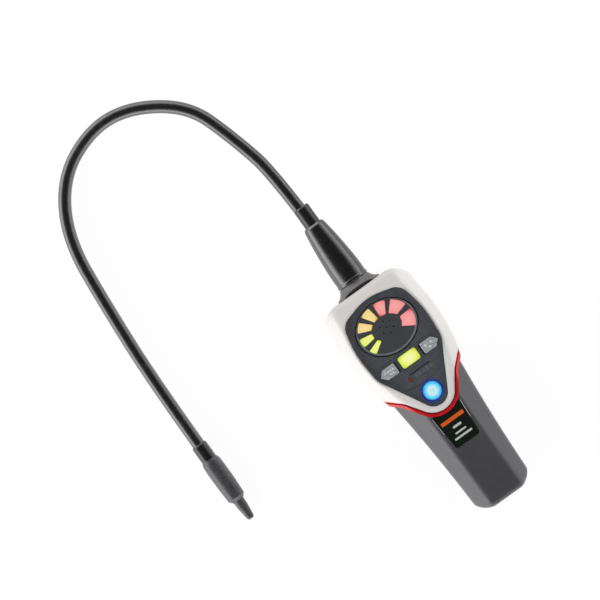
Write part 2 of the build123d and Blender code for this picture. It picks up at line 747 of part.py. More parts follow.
# Control panel with its openings and grooves
with BuildPart() as control_panel:
    with BuildSketch(Plane.XY.offset(PANEL_BACK_Z)):
        add(panel_outline())
    extrude(amount=PANEL_THICKNESS)
    fillet(control_panel.faces().sort_by(Axis.Z)[-1].edges(), radius=PANEL_EDGE)
    with BuildSketch(Plane.XY.offset(PANEL_BACK_Z)):
        add(ellipse(DIAL_HALF_X + DIAL_GROOVE, DIAL_HALF_Y + DIAL_GROOVE))
        add(side_key(KEY_GAP))
        mirror(side_key(KEY_GAP), about=Plane.YZ)
        add(centre_key(KEY_GAP))
        add(power_disc(KEY_GAP))
        with Locations((STATUS_LED_X, STATUS_LED_Y)):
            Circle(STATUS_LED_RADIUS + SEAM)
    extrude(amount=PANEL_THICKNESS, mode=Mode.SUBTRACT)
    slot_x = SIDE_KEY_INNER + SEAM - (KEY_GAP + KEY_SLOT_WIDTH) / 2
    with BuildSketch(Plane.XY.offset(PANEL_FACE_Z)):
        with Locations((-slot_x, KEY_ROW_Y), (slot_x, KEY_ROW_Y)):
            Rectangle(KEY_SLOT_WIDTH, KEY_HEIGHT)
    extrude(amount=-KEY_SLOT_DEPTH, mode=Mode.SUBTRACT)
    with BuildSketch(Plane.XY.offset(PANEL_FACE_Z)):
        for turn in range(ARC_GROOVES):
            radius = ARC_GROOVE_FIRST + turn * ARC_GROOVE_PITCH
            with Locations((0, DIAL_Y)):
                Circle(radius + GROOVE_WIDTH / 2)
                Circle(radius - GROOVE_WIDTH / 2, mode=Mode.SUBTRACT)
        add(panel_outline(-1.5), mode=Mode.INTERSECT)
        with Locations((0, KEY_ROW_Y + CENTRE_KEY_HEIGHT / 2)):
            Rectangle(2 * PANEL_SIDE[0], HEAD_TOP_Y, align=(Align.CENTER, Align.MIN), mode=Mode.SUBTRACT)
            Rectangle(
                2 * SIDE_KEY_POINT + 2, CENTRE_KEY_HEIGHT + 1.6,
                align=(Align.CENTER, Align.MAX), mode=Mode.SUBTRACT,
            )
        with Locations(((STATUS_LED_X + MARKS_END_X) / 2, STATUS_LED_Y)):
            Rectangle(MARKS_END_X - STATUS_LED_X + 5, 4.4, mode=Mode.SUBTRACT)
        with Locations((0, KEY_LINE_Y)):
            Rectangle(2 * (SIDE_KEY_POINT - 2), GROOVE_WIDTH)
            Rectangle(8, 2 * GROOVE_WIDTH, mode=Mode.SUBTRACT)
        with Locations((MARK_LINE_X, MARK_LINE_Y)):
            Rectangle(MARK_LINE_LENGTH, 1.6 * GROOVE_WIDTH)
    extrude(amount=-GROOVE_DEPTH, mode=Mode.SUBTRACT)
save(control_panel.part, "control_panel")

with BuildPart() as dial_lens:
    with BuildSketch(Plane.XY.offset(FLANGE_Z - KEY_FLANGE_THICKNESS)):
        add(ellipse(DIAL_HALF_X + DIAL_FLANGE, DIAL_HALF_Y + DIAL_FLANGE))
    extrude(amount=KEY_FLANGE_THICKNESS)
    with BuildSketch(Plane.XY.offset(FLANGE_Z)):
        add(ellipse(DIAL_HALF_X, DIAL_HALF_Y))
    extrude(amount=PANEL_FACE_Z + DIAL_RIM_HEIGHT - FLANGE_Z)
    with BuildSketch(Plane.XY.offset(PANEL_FACE_Z)):
        add(ellipse(DIAL_HALF_X - DIAL_RIM, DIAL_HALF_Y - DIAL_RIM))
    extrude(amount=DIAL_RIM_HEIGHT, mode=Mode.SUBTRACT)
    with BuildSketch(Plane.XY.offset(PANEL_FACE_Z - SEGMENT_DEPTH)):
        for index in range(SEGMENT_COUNT):
            add(segment_outline(index, SEAM))
    extrude(amount=SEGMENT_DEPTH + DIAL_RIM_HEIGHT, mode=Mode.SUBTRACT)
    with Locations((0, DIAL_Y, FLANGE_Z - KEY_FLANGE_THICKNESS)):
        Cylinder(SPEAKER_HOLE_RADIUS, 4 * PANEL_THICKNESS, mode=Mode.SUBTRACT)
        with PolarLocations(SPEAKER_HOLE_RING, 6, start_angle=30):
            Cylinder(SPEAKER_HOLE_RADIUS, 4 * PANEL_THICKNESS, mode=Mode.SUBTRACT)
save(dial_lens.part, "dial_lens")

for index in range(SEGMENT_COUNT):
    with BuildPart() as led_segment:
        with BuildSketch(Plane.XY.offset(PANEL_FACE_Z - SEGMENT_DEPTH)):
            add(segment_outline(index))
        extrude(amount=SEGMENT_DEPTH + SEGMENT_PROUD)
        fillet(led_segment.edges().filter_by(Axis.Z), radius=SEGMENT_CORNER)
        fillet(led_segment.faces().sort_by(Axis.Z)[-1].edges(), radius=SEGMENT_EDGE)
    save(led_segment.part, f"led_segment_{index + 1}")


# Keys, button and lamp: each has a flange under the panel that keeps it in
def key_cap(outline, flange):
    """A key: its flange under the panel and its cap through it."""
    with BuildPart() as key:
        with BuildSketch(Plane.XY.offset(KEY_FLANGE_Z)):
            add(flange)
        extrude(amount=KEY_FLANGE_THICKNESS)
        with BuildSketch(Plane.XY.offset(KEY_FLANGE_Z)):
            add(outline)
        extrude(amount=PANEL_FACE_Z + KEY_PROUD - KEY_FLANGE_Z)
        fillet(key.faces().sort_by(Axis.Z)[-1].edges(), radius=KEY_EDGE)
    return key.part


with BuildSketch() as side_flange:
    with Locations((SIDE_KEY_INNER - KEY_FLANGE, KEY_ROW_Y)):
        Rectangle(
            SIDE_KEY_SHOULDER - SIDE_KEY_INNER + KEY_FLANGE, KEY_HEIGHT + 2 * KEY_FLANGE,
            align=(Align.MIN, Align.CENTER),
        )
right_key = key_cap(side_key(), side_flange.sketch)
save(right_key, "right_key")
with BuildPart() as left_key:
    mirror(right_key, about=Plane.YZ)
save(left_key.part, "left_key")
save(key_cap(centre_key(), centre_key(KEY_FLANGE)), "centre_key")

with BuildPart() as power_button:
    add(key_cap(power_disc(), power_disc(KEY_FLANGE)))
    with BuildSketch(Plane.XY.offset(PANEL_FACE_Z + KEY_PROUD)):
        Circle(POWER_RING + GROOVE_WIDTH / 2)
        Circle(POWER_RING - GROOVE_WIDTH / 2, mode=Mode.SUBTRACT)
    extrude(amount=-GROOVE_DEPTH, mode=Mode.SUBTRACT)
save(power_button.part, "power_button")

with BuildPart() as status_led:
    with Locations((STATUS_LED_X, STATUS_LED_Y, BOARD_TOP_Z)):
        Cylinder(
            STATUS_LED_RADIUS, PANEL_FACE_Z + STATUS_LED_PROUD - BOARD_TOP_Z, align=UPWARDS
        )
        Cylinder(STATUS_LED_RADIUS + STATUS_LED_FOOT, LAMP_HEIGHT, align=UPWARDS)
    fillet(status_led.edges().group_by(Axis.Z)[-1], radius=STATUS_LED_RADIUS * 0.8)
save(status_led.part, "status_led")


# Electronics
with BuildPart() as main_board:
    with BuildSketch(Plane.XY.offset(BOARD_BACK_Z)):
        add(panel_outline(-BOARD_INSET))
        with Locations((0, (BOARD_EAR_LOW_Y + BOARD_EAR_HIGH_Y) / 2)):
            RectangleRounded(2 * BOARD_EAR_HALF, BOARD_EAR_HIGH_Y - BOARD_EAR_LOW_Y, 2)
        with Locations(*HEAD_SCREWS):
            Circle(POST_RADIUS + 0.5, mode=Mode.SUBTRACT)
        with Locations(*BOARD_SCREWS):
            Circle(BOARD_SCREW_RADIUS + 0.2, mode=Mode.SUBTRACT)
    extrude(amount=BOARD_THICKNESS)
save(main_board.part, "main_board")

with BuildPart() as board_screws:
    with Locations(*at_height(BOARD_SCREWS, BOARD_BACK_Z)):
        Cylinder(2 * BOARD_SCREW_RADIUS, BOARD_SCREW_HEAD, align=DOWNWARDS)
        Cylinder(BOARD_SCREW_RADIUS, BOARD_SCREW_LENGTH, align=UPWARDS)
save(board_screws.part, "board_screws")

SIDE_SWITCH_X = (SIDE_KEY_INNER + SIDE_KEY_SHOULDER) / 2
with BuildPart() as key_switches:
    with Locations(
        (0, 0, BOARD_TOP_Z), (0, KEY_ROW_Y, BOARD_TOP_Z),
        (SIDE_SWITCH_X, KEY_ROW_Y, BOARD_TOP_Z), (-SIDE_SWITCH_X, KEY_ROW_Y, BOARD_TOP_Z),
    ):
        Box(SWITCH_SIZE, SWITCH_SIZE, SWITCH_HEIGHT, align=UPWARDS)
        Cylinder(
            SWITCH_PLUNGER_RADIUS, KEY_FLANGE_Z - KEY_TRAVEL - SEAM - BOARD_TOP_Z,
            align=UPWARDS,
        )
save(key_switches.part, "key_switches")

with BuildPart() as indicator_leds:
    for index in range(SEGMENT_COUNT):
        x, y = segment_middle(index)
        with Locations((x, y, BOARD_TOP_Z)):
            Box(LAMP_SIZE, LAMP_SIZE, LAMP_HEIGHT, align=UPWARDS)
save(indicator_leds.part, "indicator_leds")

with BuildPart() as speaker:
    with Locations((0, DIAL_Y, BOARD_TOP_Z)):
        Cylinder(SPEAKER_RADIUS, SPEAKER_HEIGHT, align=UPWARDS)
    with Locations((0, DIAL_Y, BOARD_TOP_Z + SPEAKER_HEIGHT)):
        Cylinder(SPEAKER_RADIUS - SPEAKER_RIM, SPEAKER_DEPTH, align=DOWNWARDS, mode=Mode.SUBTRACT)
save(speaker.part, "speaker")


# Housing screws, from the back
with BuildPart() as housing_screws:
    with Locations(*at_height(HEAD_SCREWS + GRIP_SCREWS, SCREW_HEAD_Z)):
        Cylinder(SCREW_HEAD_RADIUS, SCREW_HEAD_HEIGHT, align=UPWARDS)
        Cylinder(SCREW_RADIUS, SCREW_LENGTH, align=UPWARDS)
        Box(RECESS_LENGTH, RECESS_WIDTH, 2 * RECESS_DEPTH, mode=Mode.SUBTRACT)
        Box(RECESS_WIDTH, RECESS_LENGTH, 2 * RECESS_DEPTH, mode=Mode.SUBTRACT)
save(housing_screws.part, "housing_screws")


# Battery bay: a cassette open to the back, four cells and their contacts
with BuildPart() as battery_holder:
    with BuildSketch(Plane.XZ.offset(-HOLDER_END_Y)):
        with BuildLine():
            Polyline(
                (-HOLDER_HALF, HOLDER_BACK_Z), (-HOLDER_HALF, HOLDER_FRONT_Z - HOLDER_CHAMFER),
                (-HOLDER_HALF + HOLDER_CHAMFER, HOLDER_FRONT_Z),
                (HOLDER_HALF - HOLDER_CHAMFER, HOLDER_FRONT_Z),
                (HOLDER_HALF, HOLDER_FRONT_Z - HOLDER_CHAMFER), (HOLDER_HALF, HOLDER_BACK_Z), close=True,
            )
        make_face()
    extrude(amount=-HOLDER_LENGTH)
    with BuildSketch(Plane.XZ.offset(-HOLDER_END_Y - HOLDER_WALL)):
        with BuildLine():
            inner = HOLDER_HALF - HOLDER_WALL
            top = HOLDER_FRONT_Z - HOLDER_WALL
            Polyline(
                (-inner, 0), (-inner, top - HOLDER_CHAMFER), (-inner + HOLDER_CHAMFER, top),
                (inner - HOLDER_CHAMFER, top), (inner, top - HOLDER_CHAMFER), (inner, 0), close=True,
            )
        make_face()
    extrude(amount=-HOLDER_LENGTH + 2 * HOLDER_WALL, mode=Mode.SUBTRACT)
save(battery_holder.part, "battery_holder")

CELL_START_Y = HOLDER_END_Y + HOLDER_WALL
CELL_BAY = HOLDER_LENGTH - 2 * HOLDER_WALL
for index, (x, z) in enumerate(CELL_PLACES):
    nub_up = index in (0, 3)
    base_y = CELL_START_Y + LEAF_DEPTH if nub_up else CELL_START_Y + CONTACT_THICKNESS + CELL_NUB
    nub_y = base_y + CELL_LENGTH if nub_up else base_y - CELL_NUB
    with BuildPart() as cell:
        with BuildSketch(Plane.XZ.offset(-base_y)):
            with Locations((x, z)):
                Circle(CELL_RADIUS)
        extrude(amount=-CELL_LENGTH)
        fillet(cell.edges().filter_by(GeomType.CIRCLE), radius=0.5)
        with BuildSketch(Plane.XZ.offset(-nub_y)):
            with Locations((x, z)):
                Circle(CELL_NUB_RADIUS)
        extrude(amount=-CELL_NUB)
    save(cell.part, f"battery_cell_{index + 1}")

with BuildPart() as contact_plates:
    for index, (x, z) in enumerate(CELL_PLACES):
        nub_up = index in (0, 3)
        y = CELL_START_Y + CELL_BAY - CONTACT_THICKNESS if nub_up else CELL_START_Y
        with BuildSketch(Plane.XZ.offset(-y)):
            with Locations((x, z)):
                RectangleRounded(2 * LEAF_WIDTH, 2 * LEAF_WIDTH, 1.5)
        extrude(amount=-CONTACT_THICKNESS)
save(contact_plates.part, "contact_plates")

with BuildPart() as contact_leaves:
    for index, (x, z) in enumerate(CELL_PLACES):
        nub_up = index in (0, 3)
        wall_y = CELL_START_Y if nub_up else CELL_START_Y + CELL_BAY
        reach = (LEAF_DEPTH - SEAM) if nub_up else -(LEAF_DEPTH - SEAM)
        thick = CONTACT_THICKNESS if nub_up else -CONTACT_THICKNESS
        with BuildSketch(Plane.YZ.offset(x - LEAF_WIDTH / 2)):
            with BuildLine():
                Polyline(
                    (wall_y, z - 5), (wall_y + thick, z - 5), (wall_y + thick, z + 3.4),
                    (wall_y + reach - thick, z - 1), (wall_y + reach - thick, z - 4),
                    (wall_y + reach, z - 4), (wall_y + reach, z - 0.6), (wall_y + thick, z + 5),
                    (wall_y, z + 5), close=True,
                )
            make_face()
        extrude(amount=LEAF_WIDTH)
save(contact_leaves.part, "contact_leaves")


# Probe: turned pieces about one axis
def turned(profile, x, z, label):
    """A turned piece: a closed profile of (radius, y) about an axis along Y."""
    with BuildPart() as piece:
        with BuildSketch(Plane.XY):
            with BuildLine():
                Polyline(*profile, close=True)
            make_face()
        revolve(axis=Axis.Y)
    save(Pos(x, 0, z) * piece.part, label)


COLLAR_Y = HEAD_TOP_Y + SEAM
BOOT_Y = COLLAR_Y + COLLAR_LENGTH + SEAM
FERRULE_Y = BOOT_Y + BOOT_LENGTH + SEAM
SPIGOT_END_Y = HEAD_TOP_Y - WALL - NUT_THICKNESS - 1.0
neck_hole = NECK_RADIUS + FIT

with BuildPart() as probe_collar:
    with BuildSketch(Plane.XY):
        with BuildLine():
            Line((neck_hole, SPIGOT_END_Y), (SPIGOT_RADIUS, SPIGOT_END_Y))
            Line((SPIGOT_RADIUS, SPIGOT_END_Y), (SPIGOT_RADIUS, COLLAR_Y))
            Line((SPIGOT_RADIUS, COLLAR_Y), (COLLAR_BASE_RADIUS, COLLAR_Y))
            Line((COLLAR_BASE_RADIUS, COLLAR_Y), (COLLAR_BASE_RADIUS, COLLAR_Y + COLLAR_EDGE))
            flare = TangentArc(
                (COLLAR_BASE_RADIUS, COLLAR_Y + COLLAR_EDGE), (COLLAR_NECK_RADIUS, COLLAR_Y + COLLAR_LENGTH),
                tangent=(-1, 0.35),
            )
            Line(flare @ 1, (neck_hole, COLLAR_Y + COLLAR_LENGTH))
            Line((neck_hole, COLLAR_Y + COLLAR_LENGTH), (neck_hole, SPIGOT_END_Y))
        make_face()
    revolve(axis=Axis.Y)
    for side in (Plane.XY.offset(COLLAR_NOTCH_Z), Plane.XY.offset(-COLLAR_NOTCH_Z)):
        with BuildSketch(side):
            with Locations((0, COLLAR_Y)):
                Ellipse(COLLAR_NOTCH_HALF, COLLAR_NOTCH_RISE)
        extrude(amount=COLLAR_BASE_RADIUS if side.origin.Z > 0 else -COLLAR_BASE_RADIUS, mode=Mode.SUBTRACT)
save(Pos(0, 0, PROBE_Z) * probe_collar.part, "probe_collar")

with BuildPart() as probe_nut:
    with BuildSketch(Plane.XZ.offset(-(HEAD_TOP_Y - WALL - SEAM))):
        with Locations((0, PROBE_Z)):
            RegularPolygon(NUT_ACROSS_FLATS / 2, 6, major_radius=False)
            Circle(SPIGOT_RADIUS + SEAM, mode=Mode.SUBTRACT)
    extrude(amount=NUT_THICKNESS)
save(probe_nut.part, "probe_nut")

with BuildPart() as strain_boot:
    with BuildSketch(Plane.XY):
        with BuildLine():
            Line((neck_hole, BOOT_Y), (BOOT_BASE_RADIUS - 0.5, BOOT_Y))
            bead = ThreePointArc(
                (BOOT_BASE_RADIUS - 0.5, BOOT_Y), (BOOT_BASE_RADIUS + 0.1, BOOT_Y + 1.4),
                (BOOT_BASE_RADIUS - 0.3, BOOT_Y + 2.8),
            )
            side = Spline(
                bead @ 1, (BOOT_BASE_RADIUS - 0.25, BOOT_Y + BOOT_LENGTH * 0.22),
                (BOOT_BASE_RADIUS - 0.9, BOOT_Y + BOOT_LENGTH * 0.45),
                (BOOT_TIP_RADIUS + 1.5, BOOT_Y + BOOT_LENGTH * 0.74),
                (BOOT_TIP_RADIUS, BOOT_Y + BOOT_LENGTH - 1.5),
            )
            Line(side @ 1, (BOOT_TIP_RADIUS - 1, BOOT_Y + BOOT_LENGTH))
            Line((BOOT_TIP_RADIUS - 1, BOOT_Y + BOOT_LENGTH), (neck_hole, BOOT_Y + BOOT_LENGTH))
            Line((neck_hole, BOOT_Y + BOOT_LENGTH), (neck_hole, BOOT_Y))
        make_face()
    revolve(axis=Axis.Y)
save(Pos(0, 0, PROBE_Z) * strain_boot.part, "strain_boot")

turned(
    [
        (neck_hole, FERRULE_Y), (FERRULE_RADIUS, FERRULE_Y), (FERRULE_RADIUS, FERRULE_Y + FERRULE_LENGTH - 1),
        (FERRULE_RADIUS - 0.6, FERRULE_Y + FERRULE_LENGTH), (neck_hole, FERRULE_Y + FERRULE_LENGTH),
    ],
    0, PROBE_Z, "lower_ferrule",
)

# Gooseneck: straight runs joined by arcs as large as the runs allow
NECK_START_Y = SPIGOT_END_Y - 1
NECK_END_Y = HOLDER_TOP_Y - NECK_INSERT
REST_Z = HOLDER_RADIUS
NECK_ROUTE = [
    (0, NECK_START_Y, PROBE_Z), (0, 172, PROBE_Z), (-10, 214, 23), (-21, 246, 21.5), (-52, 268, 18.5),
    (-82, 272, 15), (-116.3, 257, 11.5), (-137.8, 222, 9), (-142.9, 171, 7.5), (TIP_X, 109, REST_Z),
    (TIP_X, NECK_END_Y, REST_Z),
]


def bend_radii(route):
    """Radius at each corner of a route: as large as its shorter run allows."""
    radii = []
    for before, corner, after in zip(route, route[1:], route[2:]):
        run_in = Vector(*corner) - Vector(*before)
        run_out = Vector(*after) - Vector(*corner)
        half_turn = radians(run_in.get_angle(run_out)) / 2
        radii.append(BEND_SHARE * min(run_in.length, run_out.length) / tan(half_turn))
    return radii


def along_route(route, outer, inner=0.0):
    """A round tube or wire that follows a route."""
    with BuildPart() as tube:
        with BuildLine() as path:
            FilletPolyline(*route, radius=bend_radii(route))
        with BuildSketch(Plane(origin=path.line @ 0, z_dir=path.line % 0)):
            Circle(outer)
            if inner:
                Circle(inner, mode=Mode.SUBTRACT)
        sweep(path=path.line)
    return tube.part


save(along_route(NECK_ROUTE, NECK_RADIUS, NECK_BORE), "gooseneck")
lead_start = (0, NECK_START_Y - 2 * LEAD_EXTRA, PROBE_Z)
lead_end = (TIP_X, NECK_END_Y - LEAD_EXTRA, REST_Z)
save(along_route([lead_start] + NECK_ROUTE[1:-1] + [lead_end], LEAD_RADIUS), "sensor_lead")

# Sensor end
turned(
    [
        (neck_hole, HOLDER_TOP_Y + SEAM), (UPPER_FERRULE_RADIUS, HOLDER_TOP_Y + SEAM),
        (UPPER_FERRULE_RADIUS, HOLDER_TOP_Y + UPPER_FERRULE_LENGTH - 1),
        (UPPER_FERRULE_RADIUS - 0.6, HOLDER_TOP_Y + UPPER_FERRULE_LENGTH),
        (neck_hole, HOLDER_TOP_Y + UPPER_FERRULE_LENGTH),
    ],
    TIP_X, REST_Z, "upper_ferrule",
)
HOLDER_SHOULDER = 2.4
CAP_HOLE = NOZZLE_PLUG_RADIUS + FIT
HOLDER_MIDDLE_Y = (HOLDER_TOP_Y + HOLDER_TIP_Y) / 2
turned(
    [
        (neck_hole, HOLDER_TOP_Y), (UPPER_FERRULE_RADIUS + 0.2, HOLDER_TOP_Y),
        (HOLDER_RADIUS - 0.25, HOLDER_TOP_Y - HOLDER_SHOULDER),
        (HOLDER_RADIUS, HOLDER_TOP_Y - 3 * HOLDER_SHOULDER),
        (HOLDER_RADIUS, HOLDER_MIDDLE_Y - 3), (HOLDER_RADIUS - 0.5, HOLDER_TIP_Y + HOLDER_SHOULDER),
        (NOZZLE_ROOT_RADIUS + 0.3, HOLDER_TIP_Y), (CAP_HOLE, HOLDER_TIP_Y),
        (CAP_HOLE, HOLDER_TIP_Y + HOLDER_END_WALL), (HOLDER_BORE, HOLDER_TIP_Y + HOLDER_END_WALL),
        (HOLDER_BORE, HOLDER_TOP_Y - HOLDER_END_WALL), (neck_hole, HOLDER_TOP_Y - HOLDER_END_WALL),
    ],
    TIP_X, REST_Z, "sensor_holder",
)
turned(
    [
        (NOZZLE_BORE, HOLDER_TIP_Y + NOZZLE_PLUG_LENGTH),
        (NOZZLE_PLUG_RADIUS, HOLDER_TIP_Y + NOZZLE_PLUG_LENGTH),
        (NOZZLE_PLUG_RADIUS, HOLDER_TIP_Y - SEAM), (NOZZLE_ROOT_RADIUS, HOLDER_TIP_Y - SEAM),
        (NOZZLE_ROOT_RADIUS - 0.2, HOLDER_TIP_Y - 5), (NOZZLE_TIP_RADIUS + 0.3, NOZZLE_TIP_Y + 2.4),
        (NOZZLE_TIP_RADIUS, NOZZLE_TIP_Y + 1), (NOZZLE_TIP_RADIUS - 0.6, NOZZLE_TIP_Y + 0.2),
        (NOZZLE_TIP_RADIUS - 0.9, NOZZLE_TIP_Y), (NOZZLE_BORE, NOZZLE_TIP_Y),
    ],
    TIP_X, REST_Z, "sensor_cap",
)
SOCKET_Y = NECK_END_Y - LEAD_EXTRA - SEAM - SOCKET_LENGTH
turned(
    [
        (0, SOCKET_Y), (HOLDER_BORE - SEAM, SOCKET_Y), (HOLDER_BORE - SEAM, SOCKET_Y + SOCKET_LENGTH),
        (0, SOCKET_Y + SOCKET_LENGTH),
    ],
    TIP_X, REST_Z, "sensor_socket",
)
turned(
    [
        (0, SOCKET_Y - SEAM), (HOLDER_BORE - SEAM, SOCKET_Y - SEAM), (HOLDER_BORE - SEAM, SOCKET_Y - 1.0),
        (SENSOR_RADIUS, SOCKET_Y - 1.2), (SENSOR_RADIUS, SOCKET_Y - SENSOR_LENGTH),
        (SENSOR_RADIUS - 0.4, SOCKET_Y - SENSOR_LENGTH - 0.4), (0, SOCKET_Y - SENSOR_LENGTH - 0.4),
    ],
    TIP_X, REST_Z, "sensor_element",
)
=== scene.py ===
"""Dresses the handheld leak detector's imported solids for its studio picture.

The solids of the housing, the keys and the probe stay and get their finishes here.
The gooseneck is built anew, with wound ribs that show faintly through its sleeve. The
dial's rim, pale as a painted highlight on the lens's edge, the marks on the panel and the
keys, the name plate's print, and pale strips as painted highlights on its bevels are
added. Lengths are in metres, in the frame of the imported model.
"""

import math

import bmesh
import bpy
from bpy.props import FloatProperty, FloatVectorProperty, IntProperty, PointerProperty
from mathutils import Matrix, Vector


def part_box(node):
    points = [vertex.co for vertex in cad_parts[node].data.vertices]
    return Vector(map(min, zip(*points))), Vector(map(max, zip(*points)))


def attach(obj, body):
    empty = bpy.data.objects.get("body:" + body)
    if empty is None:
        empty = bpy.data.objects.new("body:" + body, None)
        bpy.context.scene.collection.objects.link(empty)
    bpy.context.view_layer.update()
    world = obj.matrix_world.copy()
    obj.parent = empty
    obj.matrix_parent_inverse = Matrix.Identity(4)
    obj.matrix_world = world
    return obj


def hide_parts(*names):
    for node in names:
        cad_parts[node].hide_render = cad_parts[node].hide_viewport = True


bl_info = {
    "name": "Leak detector",
    "version": (1, 0, 0),
    "blender": (4, 5, 0),
    "location": "View3D > Sidebar > Leak detector",
    "description": "Finishes, wound gooseneck and studio for a handheld leak detector",
    "category": "Object",
}

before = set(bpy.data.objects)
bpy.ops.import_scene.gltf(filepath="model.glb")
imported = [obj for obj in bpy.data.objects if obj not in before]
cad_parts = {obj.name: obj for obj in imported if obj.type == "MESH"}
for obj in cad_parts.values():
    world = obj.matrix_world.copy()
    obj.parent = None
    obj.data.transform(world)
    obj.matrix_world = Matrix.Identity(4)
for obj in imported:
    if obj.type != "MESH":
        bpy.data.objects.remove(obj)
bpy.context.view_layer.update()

MM = 0.001
MERGE_DISTANCE = 0.001 * MM

PANEL_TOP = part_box("control_panel")[1].z
DIAL_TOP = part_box("dial_lens")[1].z
KEY_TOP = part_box("left_key")[1].z
PLATE_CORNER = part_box("name_plate")[1]

# The studio: its pale floor, its walls as gloss mirrors them, its lamps and its camera.
STUDIO_LEVEL = 0.84
FLOOR_HALF = 4
FLOOR_COLOUR = (0.86, 0.86, 0.86, 1)
FLOOR_GLOW = 1.03
FLOOR_WHITE_SHARE = 0.92
FLOOR_MIRRORED_LEFT = 1.5
FLOOR_MIRRORED_RIGHT = 0.55
FLOOR_MIRRORED_SPAN = (-0.25, 0.15)
WALL_HEIGHT = 0.9
WALL_MIRRORED = 2.1
CEILING_MIRRORED = 0.05
MIRRORED_HEIGHTS = (0.2, 0.65)
MIRRORED_SIDES = (1.3, 0.8)
MIRRORED_SIDE_SPAN = 0.7
KEY_LAMP_PLACE = (-1.05, -0.1, 0.42)
FILL_LAMP_PLACE = (0.95, 0.3, 0.42)
LAMP_SIZE = 0.9
LAMP_AIM = (-0.03, 0.06, 0.02)
CAMERA_CENTRE = (-0.0359, 0.0989)
CAMERA_DISTANCE = 3.0
CAMERA_AIM_HEIGHT = 0.03
CAMERA_TURN = math.radians(-35.7)
CAMERA_REACH = 20
SENSOR_WIDTH = 36
VIEW_WIDTH = 0.396

# The dial's rim: two ovals as half width, half height and the height of the middle along Y.
# The rim's pale colour is a painted highlight on the lens's rounded edge.
RIM_INNER = (20.1 * MM, 16.8 * MM, 51.8 * MM)
RIM_OUTER = (21.45 * MM, 17.75 * MM, 51.3 * MM)
RIM_FOOT = DIAL_TOP - 0.5 * MM
RIM_SHOULDER = DIAL_TOP - 0.16 * MM
RIM_CROWN = DIAL_TOP + 0.04 * MM
RIM_PROFILE = [(0, RIM_FOOT), (0.2, RIM_SHOULDER), (0.5, RIM_CROWN), (0.9, RIM_CROWN), (1, RIM_FOOT)]

# The panel's hanging arcs, the button's blue light painted on it, and the row beside the status lamp.
ARC_CENTRE = (0, 109 * MM, 0)
ARC_PITCH = 1.45 * MM
ARC_SHARE = 0.35
HALO_SPAN = (6.4 * MM, 8.6 * MM)
ROW_LINE_PLACE = (1.9 * MM, 16.8 * MM, PANEL_TOP)
ROW_LINE_SIZE = (15.5 * MM, 0.8 * MM, 0.12 * MM)
ROW_LINE_CORNER = 0.3 * MM
STROKE_PAIRS = 5
STROKE_START = -2.6 * MM
STROKE_PITCH = 2.9 * MM
STROKE_OFFSET = 0.5 * MM
STROKE_Y = 14.2 * MM
STROKE_WIDTH = 0.55 * MM
STROKE_HEIGHTS = (1.7 * MM, 2.6 * MM)
STROKE_CORNER = 0.2 * MM

# Marks on the keys, in millimetres from the key's middle.
MARK_RISE = 0.16 * MM
LEFT_BAR_ROWS = ((4, 1.5, 0.4, 0.9), (2, 1.3, 1.4, -1.4))
LEFT_BAR_GAP = 0.5
LEFT_BAR_HEIGHT = 1.1 * MM
LEFT_BAR_CORNER = 0.4 * MM
RIGHT_DOTS = ((-2.6, 0.9, 0.95), (1.6, 1.0, 0.8), (-0.4, -1.5, 0.95))

BUTTON_LIGHT_RADIUS = 6.5 * MM

# The name plate's lean along the handle, and its print as x, y, width and height in millimetres.
PLATE_TILT = math.atan(0.05)
PLATE_TAPER = 0.058
PLATE_BAR = [(0, -22.6, 17.6, 2.6)]
PLATE_LINES = [(0, -28.0, 6.4, 1.6), (0, -32.2, 8.4, 1.2), (0, -35.4, 13.5, 1.4)]
PRINT_RISE = 0.12 * MM
PRINT_CORNER = 0.5 * MM
# Pale strips beside the plate's upper half, painted highlights on its bevels.
BEVEL_SIZE = (0.45 * MM, 13.0 * MM, 0.3 * MM)
BEVEL_CORNER = 0.15 * MM
BEVEL_BELOW_TOP = 7 * MM
BEVEL_OUTSET = 0.15 * MM
BEVEL_SINK = 0.05 * MM

# The gooseneck's line, as the control points of a smooth curve in millimetres.
NECK_CREST = 4.45 * MM
NECK_ROUTE = [
    (0, 72.6, 24),
    (0, 172, 24),
    (-10, 214, 23),
    (-21, 246, 21.5),
    (-52, 268, 18.5),
    (-82, 272, 15),
    (-116.3, 257, 11.5),
    (-137.8, 222, 9),
    (-142.9, 171, 7.5),
    (-146.8, 109, 6.75),
    (-146.8, 44.0, 6.75),
]

# The pale band and the bare ends of a battery cell, from the end of the cell.
CELL_BAND = (12 * MM, 7 * MM)
CELL_CAP = 1.6 * MM

LIT_SEGMENTS = {
    "led_segment_1": "green",
    "led_segment_2": "green",
    "led_segment_3": "amber",
    "led_segment_4": "amber",
    "led_segment_5": "red",
    "led_segment_6": "red",
    "led_segment_7": "red",
}


def linear(red, green, blue):
    """The linear colour of a screen colour given in steps of 255."""
    def channel(value):
        share = value / 255
        return share / 12.92 if share <= 0.04045 else ((share + 0.055) / 1.055) ** 2.4

    return (channel(red), channel(green), channel(blue), 1)


